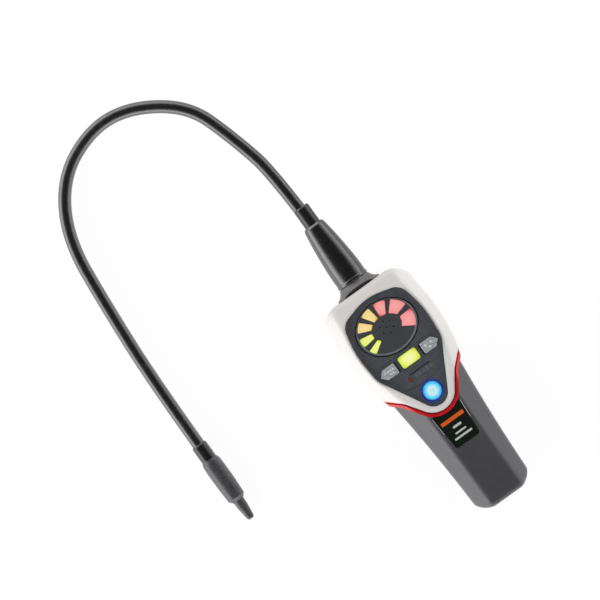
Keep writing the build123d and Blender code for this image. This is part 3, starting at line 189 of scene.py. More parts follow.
class LeakDetectorSettings(bpy.types.PropertyGroup):
    """Sizes, colours and lights of the finished instrument"""

    rib_pitch: FloatProperty(
        name="Rib pitch",
        description="Distance from one wound rib of the gooseneck to the next",
        default=1.9 * MM,
        unit="LENGTH",
    )
    rib_depth: FloatProperty(
        name="Rib depth",
        description="How far the sleeve sinks between two ribs",
        default=0.05 * MM,
        unit="LENGTH",
    )
    rib_sides: IntProperty(
        name="Rib sides",
        description="Steps in one turn of the gooseneck's winding",
        default=18,
        min=8,
        max=40,
    )
    shell_colour: FloatVectorProperty(
        name="Shell",
        description="Colour of the pale housing shells",
        default=linear(232, 229, 226),
        size=4,
        subtype="COLOR",
    )
    grip_colour: FloatVectorProperty(
        name="Grip",
        description="Colour of the soft-touch handle",
        default=linear(67, 65, 70),
        size=4,
        subtype="COLOR",
    )
    trim_colour: FloatVectorProperty(
        name="Trim",
        description="Colour of the trim between shell and handle",
        default=linear(206, 20, 32),
        size=4,
        subtype="COLOR",
    )
    panel_colour: FloatVectorProperty(
        name="Panel",
        description="Colour of the control panel",
        default=linear(75, 78, 83),
        size=4,
        subtype="COLOR",
    )
    key_light: FloatProperty(
        name="Key lamp",
        description="Power of the large low lamp to the left of the handle",
        default=8.8,
        min=0,
    )
    fill_light: FloatProperty(
        name="Fill lamp",
        description="Power of the low lamp on the other side",
        default=5.7,
        min=0,
    )
    horizon_light: FloatProperty(
        name="Horizon light",
        description="Strength of the even light from the sides",
        default=1.1,
        min=0,
    )
    top_light: FloatProperty(
        name="Top light",
        description="Strength of the even light from straight above",
        default=0.2,
        min=0,
    )


def start_material(name, colour, roughness, metallic=0.0):
    """A new material with its principled shader set to plain values."""
    material = bpy.data.materials.new(name)
    material.use_nodes = True
    shader = material.node_tree.nodes["Principled BSDF"]
    shader.inputs["Base Color"].default_value = tuple(colour)
    shader.inputs["Roughness"].default_value = roughness
    shader.inputs["Metallic"].default_value = metallic
    material.diffuse_color = tuple(colour)
    return material, material.node_tree, shader


def add_node(tree, kind, **settings):
    node = tree.nodes.new(kind)
    for key, value in settings.items():
        setattr(node, key, value)
    return node


def join(tree, start, end):
    tree.links.new(start, end)


def object_place(tree, centre=(0, 0, 0), scale=(1, 1, 1)):
    """Object coordinates, centred on a place and scaled about it."""
    place = add_node(tree, "ShaderNodeTexCoord").outputs["Object"]
    if tuple(centre) != (0, 0, 0):
        shift = add_node(tree, "ShaderNodeVectorMath", operation="SUBTRACT")
        join(tree, place, shift.inputs[0])
        shift.inputs[1].default_value = tuple(centre)
        place = shift.outputs["Vector"]
    mapping = add_node(tree, "ShaderNodeMapping")
    mapping.inputs["Scale"].default_value = scale
    join(tree, place, mapping.inputs["Vector"])
    return mapping.outputs["Vector"]


def along_axis(tree, axis):
    """How far along X, Y or Z a point is."""
    split = add_node(tree, "ShaderNodeSeparateXYZ")
    join(tree, object_place(tree), split.inputs["Vector"])
    return split.outputs[axis]


def distance_from(tree, centre, half_width=1, half_height=1):
    """Distance from a centre seen from above, 1 at the given half sizes."""
    place = object_place(tree, centre, (1 / half_width, 1 / half_height, 0))
    length = add_node(tree, "ShaderNodeVectorMath", operation="LENGTH")
    join(tree, place, length.inputs[0])
    return length.outputs["Value"]


def noise(tree, scale, detail=3.0, roughness=0.55, stretch=(1, 1, 1)):
    """Noise whose features are about 1 / scale metres wide."""
    texture = add_node(tree, "ShaderNodeTexNoise")
    texture.inputs["Scale"].default_value = scale
    texture.inputs["Detail"].default_value = detail
    texture.inputs["Roughness"].default_value = roughness
    join(tree, object_place(tree, scale=stretch), texture.inputs["Vector"])
    return texture.outputs["Fac"]


def spread(tree, value, low, high, start=0.3, end=0.7):
    """Moves a value's range from start to end to the range from low to high."""
    ranged = add_node(tree, "ShaderNodeMapRange")
    ranged.inputs["From Min"].default_value = start
    ranged.inputs["From Max"].default_value = end
    ranged.inputs["To Min"].default_value = low
    ranged.inputs["To Max"].default_value = high
    join(tree, value, ranged.inputs["Value"])
    return ranged.outputs["Result"]


def calculate(tree, operation, first, second=None):
    """One step of arithmetic on sockets or plain numbers."""
    step = add_node(tree, "ShaderNodeMath", operation=operation)
    for socket, value in zip(step.inputs, (first, second)):
        if value is None:
            continue
        if isinstance(value, (int, float)):
            socket.default_value = value
        else:
            join(tree, value, socket)
    return step.outputs["Value"]


def choose(tree, switch, on, off):
    """The first value where a switch is 1, and the second where it is 0."""
    shown = calculate(tree, "MULTIPLY", switch, on)
    other = calculate(tree, "MULTIPLY", calculate(tree, "SUBTRACT", 1.0, switch), off)
    return calculate(tree, "ADD", shown, other)


def blended(tree, factor, first, second):
    """A colour between two others, each a plain colour or a socket."""
    mix = add_node(tree, "ShaderNodeMix", data_type="RGBA")
    join(tree, factor, mix.inputs["Factor"])
    for socket, colour in ((mix.inputs[6], first), (mix.inputs[7], second)):
        if isinstance(colour, bpy.types.NodeSocket):
            join(tree, colour, socket)
        else:
            socket.default_value = tuple(colour)
    return mix.outputs[2]


def ramp(tree, value, stops):
    """A colour ramp from (position, colour) pairs."""
    node = add_node(tree, "ShaderNodeValToRGB")
    elements = node.color_ramp.elements
    elements[0].position, elements[0].color = stops[0]
    elements[1].position, elements[1].color = stops[-1]
    for position, colour in stops[1:-1]:
        elements.new(position).color = colour
    join(tree, value, node.inputs["Fac"])
    return node.outputs["Color"]


def shade(colour, factor):
    return (colour[0] * factor, colour[1] * factor, colour[2] * factor, 1)


def shaded(tree, pattern, colour, dark, light):
    """A colour that a pattern takes from a darker to a lighter shade."""
    return blended(tree, pattern, shade(colour, dark), shade(colour, light))


def raise_surface(tree, shader, height, distance, strength=1.0, rounding=0.0):
    """Bumps the surface by a height in metres, and softens its edges where a rounding is given."""
    bump = add_node(tree, "ShaderNodeBump")
    if rounding:
        soft_edge = add_node(tree, "ShaderNodeBevel", samples=6)
        soft_edge.inputs["Radius"].default_value = rounding
        join(tree, soft_edge.outputs["Normal"], bump.inputs["Normal"])
    bump.inputs["Strength"].default_value = strength
    bump.inputs["Distance"].default_value = distance
    join(tree, height, bump.inputs["Height"])
    join(tree, bump.outputs["Normal"], shader.inputs["Normal"])


def moulded(
    name, colour, roughness, grain=2400.0, depth=0.02 * MM, mottle=0.06, coat=0.0, sheen=0.0,
    rounding=0.0,
):
    """Moulded plastic with a fine spark-eroded grain, faint clouding and handled patches."""
    material, tree, shader = start_material(name, colour, roughness)
    cloud = spread(tree, noise(tree, scale=60.0, detail=4.0), 0, 1)
    join(tree, shaded(tree, cloud, colour, 1 - mottle, 1 + mottle), shader.inputs["Base Color"])
    wear = noise(tree, scale=220.0, detail=5.0, roughness=0.65)
    join(tree, spread(tree, wear, roughness - 0.06, roughness + 0.06), shader.inputs["Roughness"])
    raise_surface(tree, shader, noise(tree, grain, detail=2.0), depth, rounding=rounding)
    shader.inputs["Coat Weight"].default_value = coat
    shader.inputs["Coat Roughness"].default_value = 0.12
    shader.inputs["Sheen Weight"].default_value = sheen
    shader.inputs["Sheen Roughness"].default_value = 0.4
    return material


def turned_metal(name, colour, roughness, along=(1, 60, 1)):
    """Turned or plated metal with fine tool lines around its axis."""
    material, tree, shader = start_material(name, colour, roughness, metallic=1.0)
    lines = noise(tree, scale=900.0, detail=2.0, roughness=0.6, stretch=along)
    shades = shaded(tree, spread(tree, lines, 0, 1), colour, 0.86, 1.1)
    join(tree, shades, shader.inputs["Base Color"])
    join(tree, spread(tree, lines, roughness - 0.07, roughness + 0.08), shader.inputs["Roughness"])
    raise_surface(tree, shader, lines, 0.006 * MM)
    return material


def glossy_black(name, colour, roughness, stretch=(1, 1, 1), ior=1.5):
    """Dark rubber, lacquer or anodising that mirrors the studio in soft bands, a little scuffed."""
    material, tree, shader = start_material(name, colour, roughness)
    scuffs = noise(tree, scale=300.0, detail=4.0, roughness=0.6, stretch=stretch)
    shades = shaded(tree, spread(tree, scuffs, 0, 1, start=0.4, end=0.75), colour, 0.8, 1.3)
    join(tree, shades, shader.inputs["Base Color"])
    join(tree, spread(tree, scuffs, roughness - 0.05, roughness + 0.07), shader.inputs["Roughness"])
    raise_surface(tree, shader, noise(tree, scale=1200.0, detail=2.0), 0.001 * MM)
    shader.inputs["Specular IOR Level"].default_value = 1.0
    shader.inputs["IOR"].default_value = ior
    return material


def backlit(name, stops, centre, half_width, half_height, glow):
    """A lit translucent lens whose colour runs from its middle to its edge, as it looks when lit."""
    stops = [(position, shade(colour, 1 / (STUDIO_LEVEL + glow))) for position, colour in stops]
    material, tree, shader = start_material(name, stops[-1][1], roughness=0.25)
    distance = distance_from(tree, centre, half_width, half_height)
    diffusion = spread(tree, noise(tree, scale=900.0), -0.05, 0.05)
    colours = ramp(tree, calculate(tree, "ADD", distance, diffusion), stops)
    join(tree, colours, shader.inputs["Base Color"])
    join(tree, colours, shader.inputs["Emission Color"])
    shader.inputs["Emission Strength"].default_value = glow
    shader.inputs["Coat Weight"].default_value = 0.4
    shader.inputs["Coat Roughness"].default_value = 0.1
    return material


def middle_and_half(name):
    """The middle and the half size of a node's box."""
    low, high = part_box(name)
    return (low + high) / 2, (high - low) / 2


def paint(material, *names):
    """Gives CAD nodes a finish."""
    for name in names:
        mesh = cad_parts[name].data
        mesh.materials.clear()
        mesh.materials.append(material)


def settle(form, name, material, body, stands_for=(), sharp=35):
    """Makes a finished piece of a bmesh: smooth, at the origin and riding on its body."""
    bmesh.ops.remove_doubles(form, verts=form.verts, dist=MERGE_DISTANCE)
    bmesh.ops.recalc_face_normals(form, faces=form.faces)
    mesh = bpy.data.meshes.new(name)
    form.to_mesh(mesh)
    form.free()
    mesh.shade_smooth()
    mesh.set_sharp_from_angle(angle=math.radians(sharp))
    mesh.materials.append(material)
    piece = bpy.data.objects.new(name, mesh)
    bpy.context.scene.collection.objects.link(piece)
    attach(piece, body)
    if stands_for:
        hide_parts(*stands_for)
    return piece


def add_bar(form, centre, size, corner, tilt=0.0):
    """A flat bar with rounded upright corners, half sunk in what carries it."""
    place = (
        Matrix.Translation(Vector(centre))
        @ Matrix.Rotation(tilt, 4, "X")
        @ Matrix.Diagonal((*size, 1))
    )
    made = bmesh.ops.create_cube(form, size=1, matrix=place)["verts"]
    edges = {edge for vert in made for edge in vert.link_edges}
    upright = [
        edge for edge in edges
        if abs((edge.verts[0].co - edge.verts[1].co).normalized().z) > 0.9
    ]
    bmesh.ops.bevel(
        form, geom=upright, offset=corner, segments=4, profile=0.5, affect="EDGES", material=-1
    )


def add_dot(form, centre, radius, height):
    """A low round dot, narrower at its top and half sunk in what carries it."""
    bmesh.ops.create_cone(
        form, cap_ends=True, segments=20, radius1=radius, radius2=radius * 0.75, depth=height,
        matrix=Matrix.Translation(Vector(centre)),
    )


def lay_oval_ring(form, outline, inner, outer, steps=96):
    """Spins an outline into a ring that fills the gap between two ovals.

    An oval is its half width, its half height and the height of its middle along Y. The
    outline's first value runs from 0 at the inner oval to 1 at the outer one.
    """
    verts = [form.verts.new((1 + share, 0, z)) for share, z in outline]
    edges = [form.edges.new(pair) for pair in zip(verts, verts[1:] + verts[:1])]
    bmesh.ops.spin(
        form, geom=verts + edges, cent=(0, 0, 0), axis=(0, 0, 1), angle=math.tau, steps=steps,
        use_merge=True,
    )
    for vert in form.verts:
        reach = vert.co.xy.length
        size = Vector(inner).lerp(Vector(outer), reach - 1)
        vert.co.x *= size.x / reach
        vert.co.y = vert.co.y * size.y / reach + size.z


def route_line(name, points):
    """A smooth curve that has the route's points as its control points."""
    curve = bpy.data.curves.new(name, "CURVE")
    curve.dimensions = "3D"
    curve.resolution_u = 48
    spline = curve.splines.new("NURBS")
    spline.points.add(len(points) - 1)
    for control, point in zip(spline.points, points):
        control.co = (*(Vector(point) * MM), 1)
    spline.order_u = 3
    spline.use_endpoint_u = True
    line = bpy.data.objects.new(name, curve)
    bpy.context.scene.collection.objects.link(line)
    return line


def line_length(line):
    bpy.context.view_layer.update()
    mesh = bpy.data.meshes.new_from_object(line)
    total = sum(
        (mesh.vertices[edge.vertices[0]].co - mesh.vertices[edge.vertices[1]].co).length
        for edge in mesh.edges
    )
    bpy.data.meshes.remove(mesh)
    return total


def bend_along(form, line, step, count):
    """Repeats a bmesh along X, bends the row onto a line and returns it as a new bmesh."""
    mesh = bpy.data.meshes.new("straight")
    form.to_mesh(mesh)
    form.free()
    straight = bpy.data.objects.new("straight", mesh)
    bpy.context.scene.collection.objects.link(straight)
    row = straight.modifiers.new("row", "ARRAY")
    row.use_relative_offset = False
    row.use_constant_offset = True
    row.constant_offset_displace = (step, 0, 0)
    row.count = count
    bend = straight.modifiers.new("bend", "CURVE")
    bend.object = line
    bend.deform_axis = "POS_X"
    bpy.context.view_layer.update()
    bent = bmesh.new()
    bent.from_object(straight, bpy.context.evaluated_depsgraph_get())
    bpy.data.objects.remove(straight)
    bpy.data.meshes.remove(mesh)
    return bent


class LEAKDETECTOR_OT_stage(bpy.types.Operator):
    """Sets up the pale floor, the soft lamps, the world and the camera above the instrument"""

    bl_idname = "leak_detector.stage"
    bl_label = "Stage"

    def execute(self, context):
        settings = context.scene.leak_detector
        context.scene.view_settings.view_transform = "Standard"
        self.lay_floor()
        self.light_world(context.scene, settings.horizon_light, settings.top_light)
        self.hang_lamp("key_lamp", KEY_LAMP_PLACE, settings.key_light)
        self.hang_lamp("fill_lamp", FILL_LAMP_PLACE, settings.fill_light)
        self.place_camera(context.scene)
        return {"FINISHED"}

    def lay_floor(self):
        """A pale sheet that keeps the object's shadow and is nearly white to the camera."""
        form = bmesh.new()
        bmesh.ops.create_grid(form, x_segments=2, y_segments=2, size=FLOOR_HALF)
        mesh = bpy.data.meshes.new("floor")
        form.to_mesh(mesh)
        form.free()
        floor = bpy.data.objects.new("floor", mesh)
        bpy.context.scene.collection.objects.link(floor)
        material = bpy.data.materials.new("pale floor")
        material.use_nodes = True
        tree = material.node_tree
        tree.nodes.clear()
        paper = add_node(tree, "ShaderNodeBsdfDiffuse")
        paper.inputs["Color"].default_value = FLOOR_COLOUR
        glow = add_node(tree, "ShaderNodeEmission")
        join(tree, self.floor_glow(tree), glow.inputs["Strength"])
        mix = add_node(tree, "ShaderNodeMixShader")
        white_share = calculate(tree, "MULTIPLY", self.seen_directly(tree), FLOOR_WHITE_SHARE)
        join(tree, white_share, mix.inputs["Fac"])
        join(tree, paper.outputs["BSDF"], mix.inputs[1])
        join(tree, glow.outputs["Emission"], mix.inputs[2])
        output = add_node(tree, "ShaderNodeOutputMaterial")
        join(tree, mix.outputs["Shader"], output.inputs["Surface"])
        mesh.materials.append(material)

    def floor_glow(self, tree):
        """Plain white to the camera, and brighter to the left where gloss mirrors it."""
        gloss = add_node(tree, "ShaderNodeLightPath").outputs["Is Glossy Ray"]
        mirrored = spread(
            tree, along_axis(tree, "X"), FLOOR_MIRRORED_LEFT, FLOOR_MIRRORED_RIGHT,
            *FLOOR_MIRRORED_SPAN,
        )
        return choose(tree, gloss, mirrored, FLOOR_GLOW)

    def seen_directly(self, tree):
        """1 for rays from the camera, from gloss and through glass."""
        path = add_node(tree, "ShaderNodeLightPath")
        shiny = calculate(
            tree, "MAXIMUM", path.outputs["Is Glossy Ray"], path.outputs["Is Transmission Ray"]
        )
        return calculate(tree, "MAXIMUM", path.outputs["Is Camera Ray"], shiny)

    def light_world(self, scene, horizon, top):
        """A studio that is bright at its walls and dim overhead, and white behind the object.

        Gloss sees the walls brighter, most of all to the left, and the ceiling darker.
        """
        world = bpy.data.worlds.new("studio")
        world.use_nodes = True
        tree = world.node_tree
        background = tree.nodes["Background"]
        background.inputs["Color"].default_value = (1, 1, 1, 1)
        direction = add_node(tree, "ShaderNodeSeparateXYZ")
        sky = add_node(tree, "ShaderNodeTexCoord").outputs["Generated"]
        join(tree, sky, direction.inputs["Vector"])
        upward, sideways = direction.outputs["Z"], direction.outputs["X"]
        plain = spread(tree, upward, horizon, top, 0, WALL_HEIGHT)
        mirrored = calculate(
            tree, "MULTIPLY",
            spread(tree, upward, WALL_MIRRORED, CEILING_MIRRORED, *MIRRORED_HEIGHTS),
            spread(tree, sideways, *MIRRORED_SIDES, -MIRRORED_SIDE_SPAN, MIRRORED_SIDE_SPAN),
        )
        path = add_node(tree, "ShaderNodeLightPath")
        lit = choose(tree, path.outputs["Is Glossy Ray"], mirrored, plain)
        strength = calculate(tree, "MAXIMUM", lit, path.outputs["Is Camera Ray"])
        join(tree, strength, background.inputs["Strength"])
        scene.world = world

    def hang_lamp(self, name, place, power):
        """A round soft lamp that lights the object but isn't mirrored in it."""
        lamp = bpy.data.lights.new(name, "AREA")
        lamp.shape = "DISK"
        lamp.size = LAMP_SIZE
        lamp.energy = power
        holder = bpy.data.objects.new(name, lamp)
        bpy.context.scene.collection.objects.link(holder)
        aim = Vector(LAMP_AIM) - Vector(place)
        holder.location = place
        holder.rotation_euler = aim.to_track_quat("-Z", "Y").to_euler()
        holder.visible_glossy = False

    def place_camera(self, scene):
        """A long lens straight above, turned so that the handle points down to the right."""
        camera = bpy.data.cameras.new("camera")
        camera.sensor_width = SENSOR_WIDTH
        camera.lens = SENSOR_WIDTH * CAMERA_DISTANCE / VIEW_WIDTH
        camera.clip_end = CAMERA_REACH
        holder = bpy.data.objects.new("camera", camera)
        scene.collection.objects.link(holder)
        holder.location = (*CAMERA_CENTRE, CAMERA_DISTANCE + CAMERA_AIM_HEIGHT)
        holder.rotation_euler = (0, 0, CAMERA_TURN)
        scene.camera = holder


class LEAKDETECTOR_OT_housing(bpy.types.Operator):
    """Finishes the pale shells, the soft-touch handle, the trim, the battery door and the screws"""

    bl_idname = "leak_detector.housing"
    bl_label = "Housing"

    def execute(self, context):
        settings = context.scene.leak_detector
        shell = moulded(
            "white shell", settings.shell_colour, 0.34, depth=0.008 * MM, mottle=0.015, coat=0.2,
            rounding=3.5 * MM,
        )
        paint(shell, "front_shell", "rear_shell")
        grip = moulded(
            "grey grip", settings.grip_colour, 0.42, grain=3200.0, depth=0.012 * MM, mottle=0.05,
            sheen=0.8, rounding=4.5 * MM,
        )
        grip.node_tree.nodes["Principled BSDF"].inputs["Specular IOR Level"].default_value = 0.9
        paint(grip, "front_grip", "rear_grip", "battery_door")
        trim = moulded(
            "red trim", settings.trim_colour, 0.3, depth=0.006 * MM, mottle=0.05, coat=0.4
        )
        paint(trim, "trim_band")
        screws = turned_metal("zinc plate", linear(150, 150, 148), 0.35, (1, 1, 1))
        paint(screws, "housing_screws", "board_screws")
        return {"FINISHED"}


class LEAKDETECTOR_OT_panel(bpy.types.Operator):
    """Finishes the control panel and the dial, and adds the dial's rim and the lamp row's marks"""

    bl_idname = "leak_detector.panel"
    bl_label = "Control panel"

    def execute(self, context):
        settings = context.scene.leak_detector
        paint(self.panel_finish(settings.panel_colour), "control_panel")
        dial = moulded("dial", linear(69, 71, 75), 0.36, depth=0.006 * MM, mottle=0.05, coat=0.15)
        paint(dial, "dial_lens")
        self.light_status_lamp()
        self.add_rim()
        self.add_row_line()
        self.add_row_strokes()
        return {"FINISHED"}

    def panel_finish(self, colour):
        """Matt moulding with fine hanging arcs, and the button's blue light painted around its edge."""
        material, tree, shader = start_material("panel", colour, 0.5)
        turns = calculate(tree, "MULTIPLY", distance_from(tree, ARC_CENTRE), math.tau / ARC_PITCH)
        arcs = spread(tree, calculate(tree, "SINE", turns), 0, 1, -1, 1)
        cloud = noise(tree, scale=260.0, detail=5.0, roughness=0.7)
        both = calculate(
            tree, "ADD",
            calculate(tree, "MULTIPLY", arcs, ARC_SHARE),
            calculate(tree, "MULTIPLY", cloud, 1 - ARC_SHARE),
        )
        shades = shaded(tree, spread(tree, both, 0, 1), colour, 0.7, 1.35)
        # Painted light: the button's blue glow on the panel, mixed into the panel's colour near the
        # button.
        halo = spread(tree, distance_from(tree, (0, 0, 0)), 1, 0, *HALO_SPAN)
        join(tree, blended(tree, halo, shades, linear(16, 60, 165)), shader.inputs["Base Color"])
        join(tree, spread(tree, both, 0.42, 0.58), shader.inputs["Roughness"])
        raise_surface(tree, shader, both, 0.06 * MM, strength=0.8)
        return material

    def light_status_lamp(self):
        """A dull red lens, brighter in its middle."""
        stops = [(0.0, linear(150, 16, 22)), (0.6, linear(110, 4, 10)), (1.0, linear(60, 2, 6))]
        middle, half = middle_and_half("status_led")
        paint(backlit("status lamp", stops, middle, half.x, half.x, glow=0.15), "status_led")

    def add_rim(self):
        """The rounded rim of the dial, pale as a painted highlight on the lens's edge, wider below,
        where no segment is.
        """
        form = bmesh.new()
        lay_oval_ring(form, RIM_PROFILE, RIM_INNER, RIM_OUTER)
        # Pale grey: the painted highlight of the lens's edge.
        rim = moulded(
            "dial rim painted highlight", linear(104, 107, 110), 0.3, depth=0.004 * MM, mottle=0.08, coat=0.3
        )
        settle(form, "dial_rim_painted_highlight", rim, "housing")

    def add_row_line(self):
        """A black line over the status lamp's row."""
        form = bmesh.new()
        add_bar(form, ROW_LINE_PLACE, ROW_LINE_SIZE, ROW_LINE_CORNER)
        black = moulded("row line", linear(20, 21, 24), 0.4, mottle=0.1)
        settle(form, "row_line", black, "housing")

    def add_row_strokes(self):
        """Plain pairs of a short and a tall stroke beside the status lamp."""
        form = bmesh.new()
        for number in range(STROKE_PAIRS):
            for side, offset in enumerate((-STROKE_OFFSET, STROKE_OFFSET)):
                x = STROKE_START + STROKE_PITCH * number + offset
                size = (STROKE_WIDTH, STROKE_HEIGHTS[(number + side) % 2], MARK_RISE)
                add_bar(form, (x, STROKE_Y, PANEL_TOP), size, STROKE_CORNER)
        grey = moulded("row marks", linear(112, 115, 121), 0.4, mottle=0.1)
        settle(form, "row_marks", grey, "housing")


class LEAKDETECTOR_OT_segments(bpy.types.Operator):
    """Lights the dial's seven segments from green over amber to red"""

    bl_idname = "leak_detector.segments"
    bl_label = "Lit segments"

    def execute(self, context):
        looks = {
            "green": (linear(246, 253, 148), linear(240, 251, 124), linear(190, 214, 60)),
            "amber": (linear(255, 232, 162), linear(252, 218, 138), linear(220, 158, 76)),
            "red": (linear(255, 176, 170), linear(252, 154, 152), linear(220, 84, 92)),
        }
        for name, look in LIT_SEGMENTS.items():
            stops = list(zip((0.0, 0.75, 1.0), looks[look]))
            middle, half = middle_and_half(name)
            paint(backlit(name, stops, middle, half.x * 1.2, half.y * 1.2, glow=0.55), name)
        return {"FINISHED"}


class LEAKDETECTOR_OT_keys(bpy.types.Operator):
    """Finishes the three keys and puts their raised marks on"""

    bl_idname = "leak_detector.keys"
    bl_label = "Keys"

    def execute(self, context):
        paint(self.silver_finish(), "left_key", "right_key")
        stops = [(0.0, linear(255, 255, 196)), (0.6, linear(242, 252, 124)), (1.0, linear(200, 224, 40))]
        middle, half = middle_and_half("centre_key")
        lit = backlit("lit key", stops, middle, half.x * 1.1, half.y * 1.25, glow=0.6)
        paint(lit, "centre_key")
        mark = moulded("key mark", linear(224, 230, 230), 0.3, mottle=0.05, coat=0.4)
        self.add_bars(mark)
        self.add_dots(mark)
        return {"FINISHED"}

    def silver_finish(self):
        """Silver paint, streaked along the key by handling."""
        colour = linear(182, 189, 192)
        material, tree, shader = start_material("silver key", colour, 0.32, metallic=0.25)
        streaks = noise(tree, scale=420.0, detail=4.0, roughness=0.6, stretch=(0.8, 2.4, 1))
        shades = shaded(tree, spread(tree, streaks, 0, 1), colour, 0.72, 1.28)
        join(tree, shades, shader.inputs["Base Color"])
        join(tree, spread(tree, streaks, 0.26, 0.42), shader.inputs["Roughness"])
        raise_surface(tree, shader, streaks, 0.02 * MM)
        shader.inputs["Coat Weight"].default_value = 0.3
        return material

    def add_bars(self, material):
        """Two rows of short bars on the left key, each a count, a bar's width and its shift."""
        middle, _ = middle_and_half("left_key")
        form = bmesh.new()
        for count, width, shift_x, shift_y in LEFT_BAR_ROWS:
            for number in range(count):
                place = shift_x + (number - (count - 1) / 2) * (width + LEFT_BAR_GAP)
                centre = (middle.x + place * MM, middle.y + shift_y * MM, KEY_TOP)
                add_bar(form, centre, (width * MM, LEFT_BAR_HEIGHT, MARK_RISE), LEFT_BAR_CORNER)
        settle(form, "left_key_mark", material, "left_key")

    def add_dots(self, material):
        """Three dots on the right key, each its shift and its radius."""
        middle, _ = middle_and_half("right_key")
        form = bmesh.new()
        for shift_x, shift_y, radius in RIGHT_DOTS:
            centre = (middle.x + shift_x * MM, middle.y + shift_y * MM, KEY_TOP)
            add_dot(form, centre, radius * MM, MARK_RISE)
        settle(form, "right_key_mark", material, "right_key")


class LEAKDETECTOR_OT_power_button(bpy.types.Operator):
    """Lights the round button in rings of pale and strong blue"""

    bl_idname = "leak_detector.power_button"
    bl_label = "Power button"

    def execute(self, context):
        rings = [
            (0.0, linear(176, 238, 240)),
            (0.2, linear(190, 238, 244)),
            (0.36, linear(222, 240, 252)),
            (0.52, linear(196, 240, 250)),
            (0.64, linear(126, 232, 252)),
            (0.84, linear(72, 196, 248)),
            (1.0, linear(26, 100, 220)),
        ]
        middle, _ = middle_and_half("power_button")
        radius = BUTTON_LIGHT_RADIUS
        paint(backlit("blue light", rings, middle, radius, radius, glow=0.55), "power_button")
        return {"FINISHED"}


class LEAKDETECTOR_OT_name_plate(bpy.types.Operator):
    """Finishes the name plate and puts a plain bar and short lines on it"""

    bl_idname = "leak_detector.name_plate"
    bl_label = "Name plate"

    def execute(self, context):
        plate = moulded(
            "plate", linear(16, 27, 18), 0.28, grain=900.0, depth=0.001 * MM, mottle=0.1, coat=0.4
        )
        paint(plate, "name_plate")
        orange = moulded("orange print", linear(228, 96, 26), 0.35, mottle=0.1)
        pale = moulded("pale print", linear(196, 202, 200), 0.35, mottle=0.05)
        self.print_bars("plate_bar", orange, PLATE_BAR)
        self.print_bars("plate_lines", pale, PLATE_LINES)
        self.add_bevel_highlights()
        return {"FINISHED"}

    def height_at(self, y):
        """How high the sloping plate's face is."""
        return PLATE_CORNER.z - math.tan(PLATE_TILT) * (PLATE_CORNER.y - y)

    def print_bars(self, name, material, bars):
        """Thin bars of print on the plate's face."""
        form = bmesh.new()
        for x, y, width, height in bars:
            centre = (x * MM, y * MM, self.height_at(y * MM))
            size = (width * MM, height * MM, PRINT_RISE)
            add_bar(form, centre, size, PRINT_CORNER, PLATE_TILT)
        settle(form, name, material, "housing")

    def add_bevel_highlights(self):
        """Pale strips beside the plate's upper half, painted highlights where its bevels catch the
        light.
        """
        form = bmesh.new()
        y = PLATE_CORNER.y - BEVEL_BELOW_TOP
        reach = PLATE_CORNER.x + BEVEL_OUTSET - PLATE_TAPER * BEVEL_BELOW_TOP
        for side in (-1, 1):
            bar = bmesh.new()
            add_bar(bar, (0, 0, 0), BEVEL_SIZE, BEVEL_CORNER, PLATE_TILT)
            lean = Matrix.Rotation(-side * math.atan(PLATE_TAPER), 3, "Z")
            bmesh.ops.rotate(bar, cent=(0, 0, 0), matrix=lean, verts=bar.verts)
            place = (side * reach, y, self.height_at(y) - BEVEL_SINK)
            bmesh.ops.translate(bar, vec=place, verts=bar.verts)
            mesh = bpy.data.meshes.new("bar")
            bar.to_mesh(mesh)
            bar.free()
            form.from_mesh(mesh)
            bpy.data.meshes.remove(mesh)
        # A pale grey that paints the light caught by the bevels: a painted highlight.
        bright = moulded("bevel painted highlight", linear(176, 180, 186), 0.25, mottle=0.15, coat=0.5)
        settle(form, "plate_bevel_highlights", bright, "housing")


class LEAKDETECTOR_OT_probe_root(bpy.types.Operator):
    """Finishes the rubber collar, the boot, the ferrules and the clamping nut"""

    bl_idname = "leak_detector.probe_root"
    bl_label = "Probe root"

    def execute(self, context):
        paint(glossy_black("boot rubber", linear(14, 12, 12), 0.26, ior=1.75), "strain_boot")
        paint(glossy_black("collar rubber", linear(92, 90, 90), 0.4), "probe_collar")
        ferrule = glossy_black("ferrule lacquer", linear(24, 24, 27), 0.28, stretch=(1, 6, 1))
        paint(ferrule, "lower_ferrule", "upper_ferrule")
        paint(turned_metal("plated nut", linear(165, 165, 160), 0.3), "probe_nut")
        return {"FINISHED"}


class LEAKDETECTOR_OT_gooseneck(bpy.types.Operator):
    """Winds the gooseneck, whose ribs show faintly through its black sleeve, along its bend"""

    bl_idname = "leak_detector.gooseneck"
    bl_label = "Gooseneck"

    def execute(self, context):
        settings = context.scene.leak_detector
        line = route_line("gooseneck line", NECK_ROUTE)
        turns = int(line_length(line) / settings.rib_pitch) - 1
        bent = bend_along(self.wind_once(settings), line, settings.rib_pitch, turns)
        bpy.data.objects.remove(line)
        bmesh.ops.remove_doubles(bent, verts=bent.verts, dist=MERGE_DISTANCE)
        bmesh.ops.holes_fill(bent, edges=bent.edges, sides=0)
        sleeve = glossy_black("neck sleeve", linear(14, 14, 17), 0.3, ior=1.8)
        settle(bent, "wound_gooseneck", sleeve, "housing", ["gooseneck"], sharp=60)
        return {"FINISHED"}

    def wind_once(self, settings):
        """One rib's outline, turned once around X while it moves on by its own pitch."""
        pitch, depth, sides = settings.rib_pitch, settings.rib_depth, settings.rib_sides
        drops = (depth, 0.5 * depth, 0.0, 0.5 * depth, depth)
        step = pitch / (len(drops) - 1)
        form = bmesh.new()
        verts = [
            form.verts.new((number * step, 0, NECK_CREST - drop))
            for number, drop in enumerate(drops)
        ]
        edges = [form.edges.new(pair) for pair in zip(verts, verts[1:])]
        bmesh.ops.spin(
            form, geom=verts + edges, cent=(0, 0, 0), axis=(1, 0, 0), angle=math.tau,
            steps=sides, dvec=(pitch / sides, 0, 0),
        )
        return form


